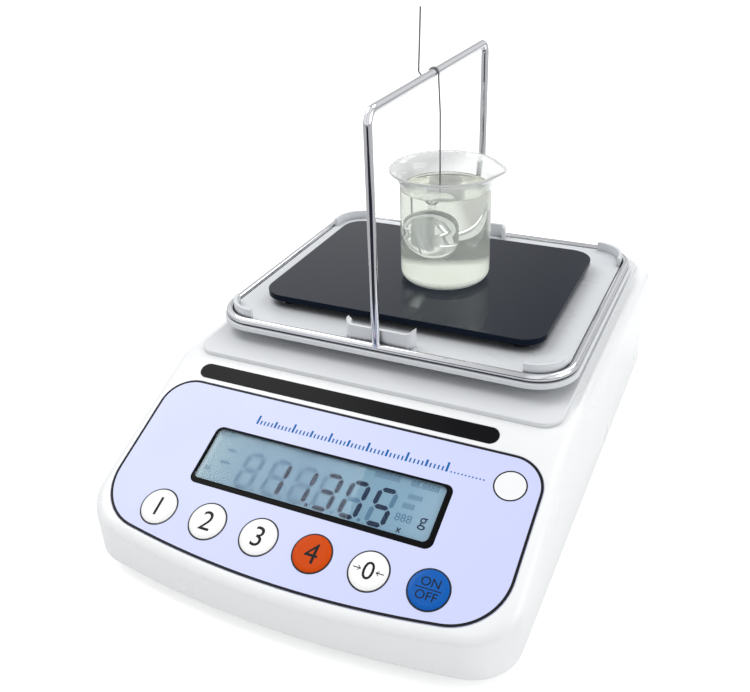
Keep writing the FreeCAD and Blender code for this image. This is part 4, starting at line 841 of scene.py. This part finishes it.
def arc_points(centre, radius, start, end, count):
    """Points of a round stretch of a profile, from one angle to another."""
    turns = [start + (end - start) * step / count for step in range(count + 1)]
    return [(centre[0] + radius * math.cos(turn), centre[1] + radius * math.sin(turn)) for turn in turns]


platform_top_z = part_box("platform_plate")[1].z
beaker_low, beaker_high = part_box("beaker")
liquid_low, liquid_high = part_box("sample_liquid")
beaker_wall = 0.0012
beaker_base = 0.0021
foot_round = 0.0055
foot_hollow = 0.0006
floor_rise = 0.0002
liquid_inset = 0.00155
rim_margin = 0.0004
half_pi = math.pi / 2
beaker_centre = ((liquid_low.x + liquid_high.x) / 2, (beaker_low.y + beaker_high.y) / 2)
beaker_radius = (liquid_high.x - liquid_low.x) / 2 + liquid_inset
beaker_rim_radius = (beaker_high.y - beaker_low.y) / 2
beaker_rim_z = beaker_high.z
flare_turn = math.radians(60)
flare_bend = (beaker_rim_radius - beaker_radius) / (1 - math.cos(flare_turn))
flare_low = beaker_rim_z - (flare_bend + beaker_wall) * math.sin(flare_turn) - rim_margin
flare_centre = (beaker_radius + flare_bend, flare_low)
inner_radius = beaker_radius - beaker_wall
inner_round = foot_round - beaker_wall
inner_floor_z = platform_top_z + beaker_base
bead_reach = flare_bend + beaker_wall / 2
bead_radius = beaker_wall * 0.62
bead_centre = (flare_centre[0] - bead_reach * math.cos(flare_turn),
               flare_low + bead_reach * math.sin(flare_turn))
outer_foot_centre = (beaker_radius - foot_round, platform_top_z + foot_round)
inner_foot_centre = (inner_radius - inner_round, inner_floor_z + inner_round)
foot_steps = 10
flare_steps = 12
bead_steps = 8
outer_wall = [(0.0, platform_top_z + foot_hollow),
              (beaker_radius * 0.5, platform_top_z + foot_hollow * 2 / 3)]
outer_wall += arc_points(outer_foot_centre, foot_round, -half_pi, 0, foot_steps)
outer_wall += arc_points(flare_centre, flare_bend, math.pi, math.pi - flare_turn, flare_steps)
rim_bead = arc_points(bead_centre, bead_radius, -flare_turn, math.pi - flare_turn, bead_steps)
inner_wall = arc_points(flare_centre, flare_bend + beaker_wall, math.pi - flare_turn, math.pi, flare_steps)
inner_wall += arc_points(inner_foot_centre, inner_round, 0, -half_pi, foot_steps)
inner_wall += [(0.0, inner_floor_z + floor_rise)]
spout_turn = math.radians(12.0)
spout_reach = 0.0024
spout_drop = 0.0004
spout_height = 0.011
spout_spread = 0.24
# The rim is drawn in a little on either side of the lip.
pinch_turn = 0.5
pinch_spread = 0.16
pinch_depth = 0.0007


def pulled_lip(radius, height, turn):
    """Draws the rim outwards and a little down over the width of the pouring lip."""
    rise = max(0.0, 1 - (beaker_rim_z - height) / spout_height)
    away = (turn - spout_turn + math.pi) % (2 * math.pi) - math.pi
    share = rise ** 2 * math.exp(-(away / spout_spread) ** 2)
    pinch = rise ** 2 * math.exp(-((abs(away) - pinch_turn) / pinch_spread) ** 2)
    return radius + spout_reach * share - pinch_depth * pinch, height - spout_drop * share


beaker = spun("beaker_glass", outer_wall + rim_bead + inner_wall, beaker_centre, count=128, bend=pulled_lip)
# The glass has a faint milky share all over. At the rim, seen edge on, and in the thick foot, a larger
# milky share is painted light: it stands in for the light that the thick glass gathers and bends there.
wall_haze = 0.04
rim_painted_light = 0.27
foot_painted_light = 0.5
foot_light_top = platform_top_z + 0.006
foot_light_full = platform_top_z + 0.002
glass = glass_material("beaker_glass", (0.97, 0.985, 0.98), 1.47, 0.0, haze=wall_haze)
tree = glass.node_tree
glass_place = add_node(tree, "TexCoord").outputs["Object"]
glass_height = add_node(tree, "SeparateXYZ", {0: glass_place}).outputs["Z"]
rim_haze_and_light = ranged(tree, glass_height, flare_low, beaker_rim_z, wall_haze, rim_painted_light)
foot_light_share = ranged(tree, glass_height, foot_light_top, foot_light_full, 0.0, foot_painted_light)
haze_and_painted_light = calculated(tree, "MAXIMUM", rim_haze_and_light, foot_light_share)
tree.links.new(haze_and_painted_light, tree.nodes["haze"].inputs[0])
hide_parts("beaker")
finish_piece(beaker, glass, "housing")

# ---------------------------------------------------------------- sample
# A clear, faintly yellow liquid fills the beaker to near its shoulder. It climbs a little at
# the glass, and reaches a hair into it, so that no gap shows. The sinker hangs well below its
# surface.

side_overlap = 0.00015
floor_overlap = 0.0001
liquid_radius = inner_radius + side_overlap
liquid_foot = inner_floor_z - floor_overlap
liquid_level = liquid_high.z
# The climb of the liquid at the glass: the way in from the glass, and the rise above the level.
liquid_climb = ((0.0, -0.0010), (0.0, 0.0008), (0.0, 0.0011), (0.0004, 0.0006), (0.0011, 0.0002),
                (0.0024, 0.0), (0.0034, 0.0))
liquid_foot_centre = (liquid_radius - inner_round, liquid_foot + inner_round)
liquid_profile = [(0.0, liquid_foot)]
liquid_profile += arc_points(liquid_foot_centre, inner_round, -half_pi, 0, foot_steps)
liquid_profile += [(liquid_radius - inwards, liquid_level + rise) for inwards, rise in liquid_climb]
liquid_profile += [(0.0, liquid_level)]
liquid = spun("sample", liquid_profile, beaker_centre, count=96)
liquid_material = glass_material("sample", (0.965, 0.975, 0.90), 1.34, 0.0, haze=0.09)
# Its open surface, and no other face, has a faint ripple.
surface_lean = 0.9
ripple_scale = 140.0
ripple_height = 0.0008
ripple_strength = 0.45
tree = liquid_material.node_tree
facing = add_node(tree, "NewGeometry").outputs["True Normal"]
upward = add_node(tree, "SeparateXYZ", {0: facing}).outputs["Z"]
surface_share = ranged(tree, upward, surface_lean, 1.0, 0.0, ripple_strength)
ripple_place = add_node(tree, "TexCoord").outputs["Object"]
ripple = add_node(tree, "TexNoise", {"Vector": ripple_place, "Scale": ripple_scale, "Detail": 2.0})
ripple_bump = add_node(tree, "Bump", {"Distance": ripple_height, "Strength": surface_share,
                                      "Height": ripple.outputs["Fac"]})
tree.links.new(ripple_bump.outputs["Normal"], tree.nodes["Principled BSDF"].inputs["Normal"])
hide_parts("sample_liquid")
finish_piece(liquid, liquid_material, "housing")

# ---------------------------------------------------------------- hook and sinker
# The hook is 0.9 mm spring steel wire, turned over the bar and bent to an eye at its foot.
# The sinker is a sealed glass bulb of known volume that hangs in the eye by a glass ring.

hook_material = metal_material("spring_steel", (0.26, 0.265, 0.28), (0.25, 0.4))
sinker_material = glass_material("sinker_glass", (0.95, 0.96, 0.96), 1.1, 0.0, haze=0.05)
finish_node("hook_wire", hook_material)
finish_node("sinker", sinker_material)

# ---------------------------------------------------------------- weighing mechanism
# A milled aluminium bending beam stands on a spacer at the back and carries a cast arm, a
# turned stem, a flat cross and four rubber pads on which the pan is pressed.

cell_aluminium = metal_material("cell_aluminium", (0.72, 0.73, 0.74), (0.25, 0.4), grain_scale=400.0)
carrier_cast = metal_material("carrier_cast", (0.62, 0.63, 0.64), (0.4, 0.6), grain_scale=1500.0,
                              grain_depth=0.05)
screw_steel = metal_material("screw_steel", (0.6, 0.6, 0.61), (0.2, 0.35))
brass = metal_material("brass", (0.78, 0.57, 0.26), (0.2, 0.35))
for part, metal in (("load_cell", cell_aluminium), ("load_cell_mount", cell_aluminium),
                    ("carrier_arm", carrier_cast), ("pan_stem", cell_aluminium),
                    ("pan_cross", carrier_cast), ("overload_stop", brass), ("foot_inserts", brass),
                    ("load_cell_bolts", screw_steel), ("carrier_bolts", screw_steel),
                    ("board_screws", screw_steel), ("cover_screws", screw_steel)):
    finish_node(part, metal)
finish_node("pan_pads", rubber_material)

# ---------------------------------------------------------------- circuit boards and sockets
# Two glass-epoxy boards: one behind the keys, one on the floor of the base with the power
# inlet and the printer port at the back wall.

board_green = moulded_material("circuit_board", (0.012, 0.12, 0.045), (0.25, 0.4), grain_scale=500.0,
                               shade=0.2)
board_parts = moulded_material("board_parts", (0.03, 0.03, 0.033), (0.3, 0.45))
backlight_material = moulded_material("backlight", (0.75, 0.77, 0.74), (0.4, 0.5))
socket_black = moulded_material("socket_black", (0.015, 0.015, 0.016), (0.3, 0.4))
socket_steel = metal_material("socket_steel", (0.66, 0.66, 0.67), (0.25, 0.35))
lead_jacket = moulded_material("lead_jacket", (0.35, 0.35, 0.36), (0.45, 0.6))
for part, finish in (("panel_board", board_green), ("main_board", board_green),
                     ("main_board_parts", board_parts), ("key_switches", board_parts),
                     ("lcd_backlight", backlight_material), ("dc_jack", socket_black),
                     ("serial_port", socket_steel), ("load_cell_lead", lead_jacket),
                     ("panel_ribbon", lead_jacket)):
    finish_node(part, finish)
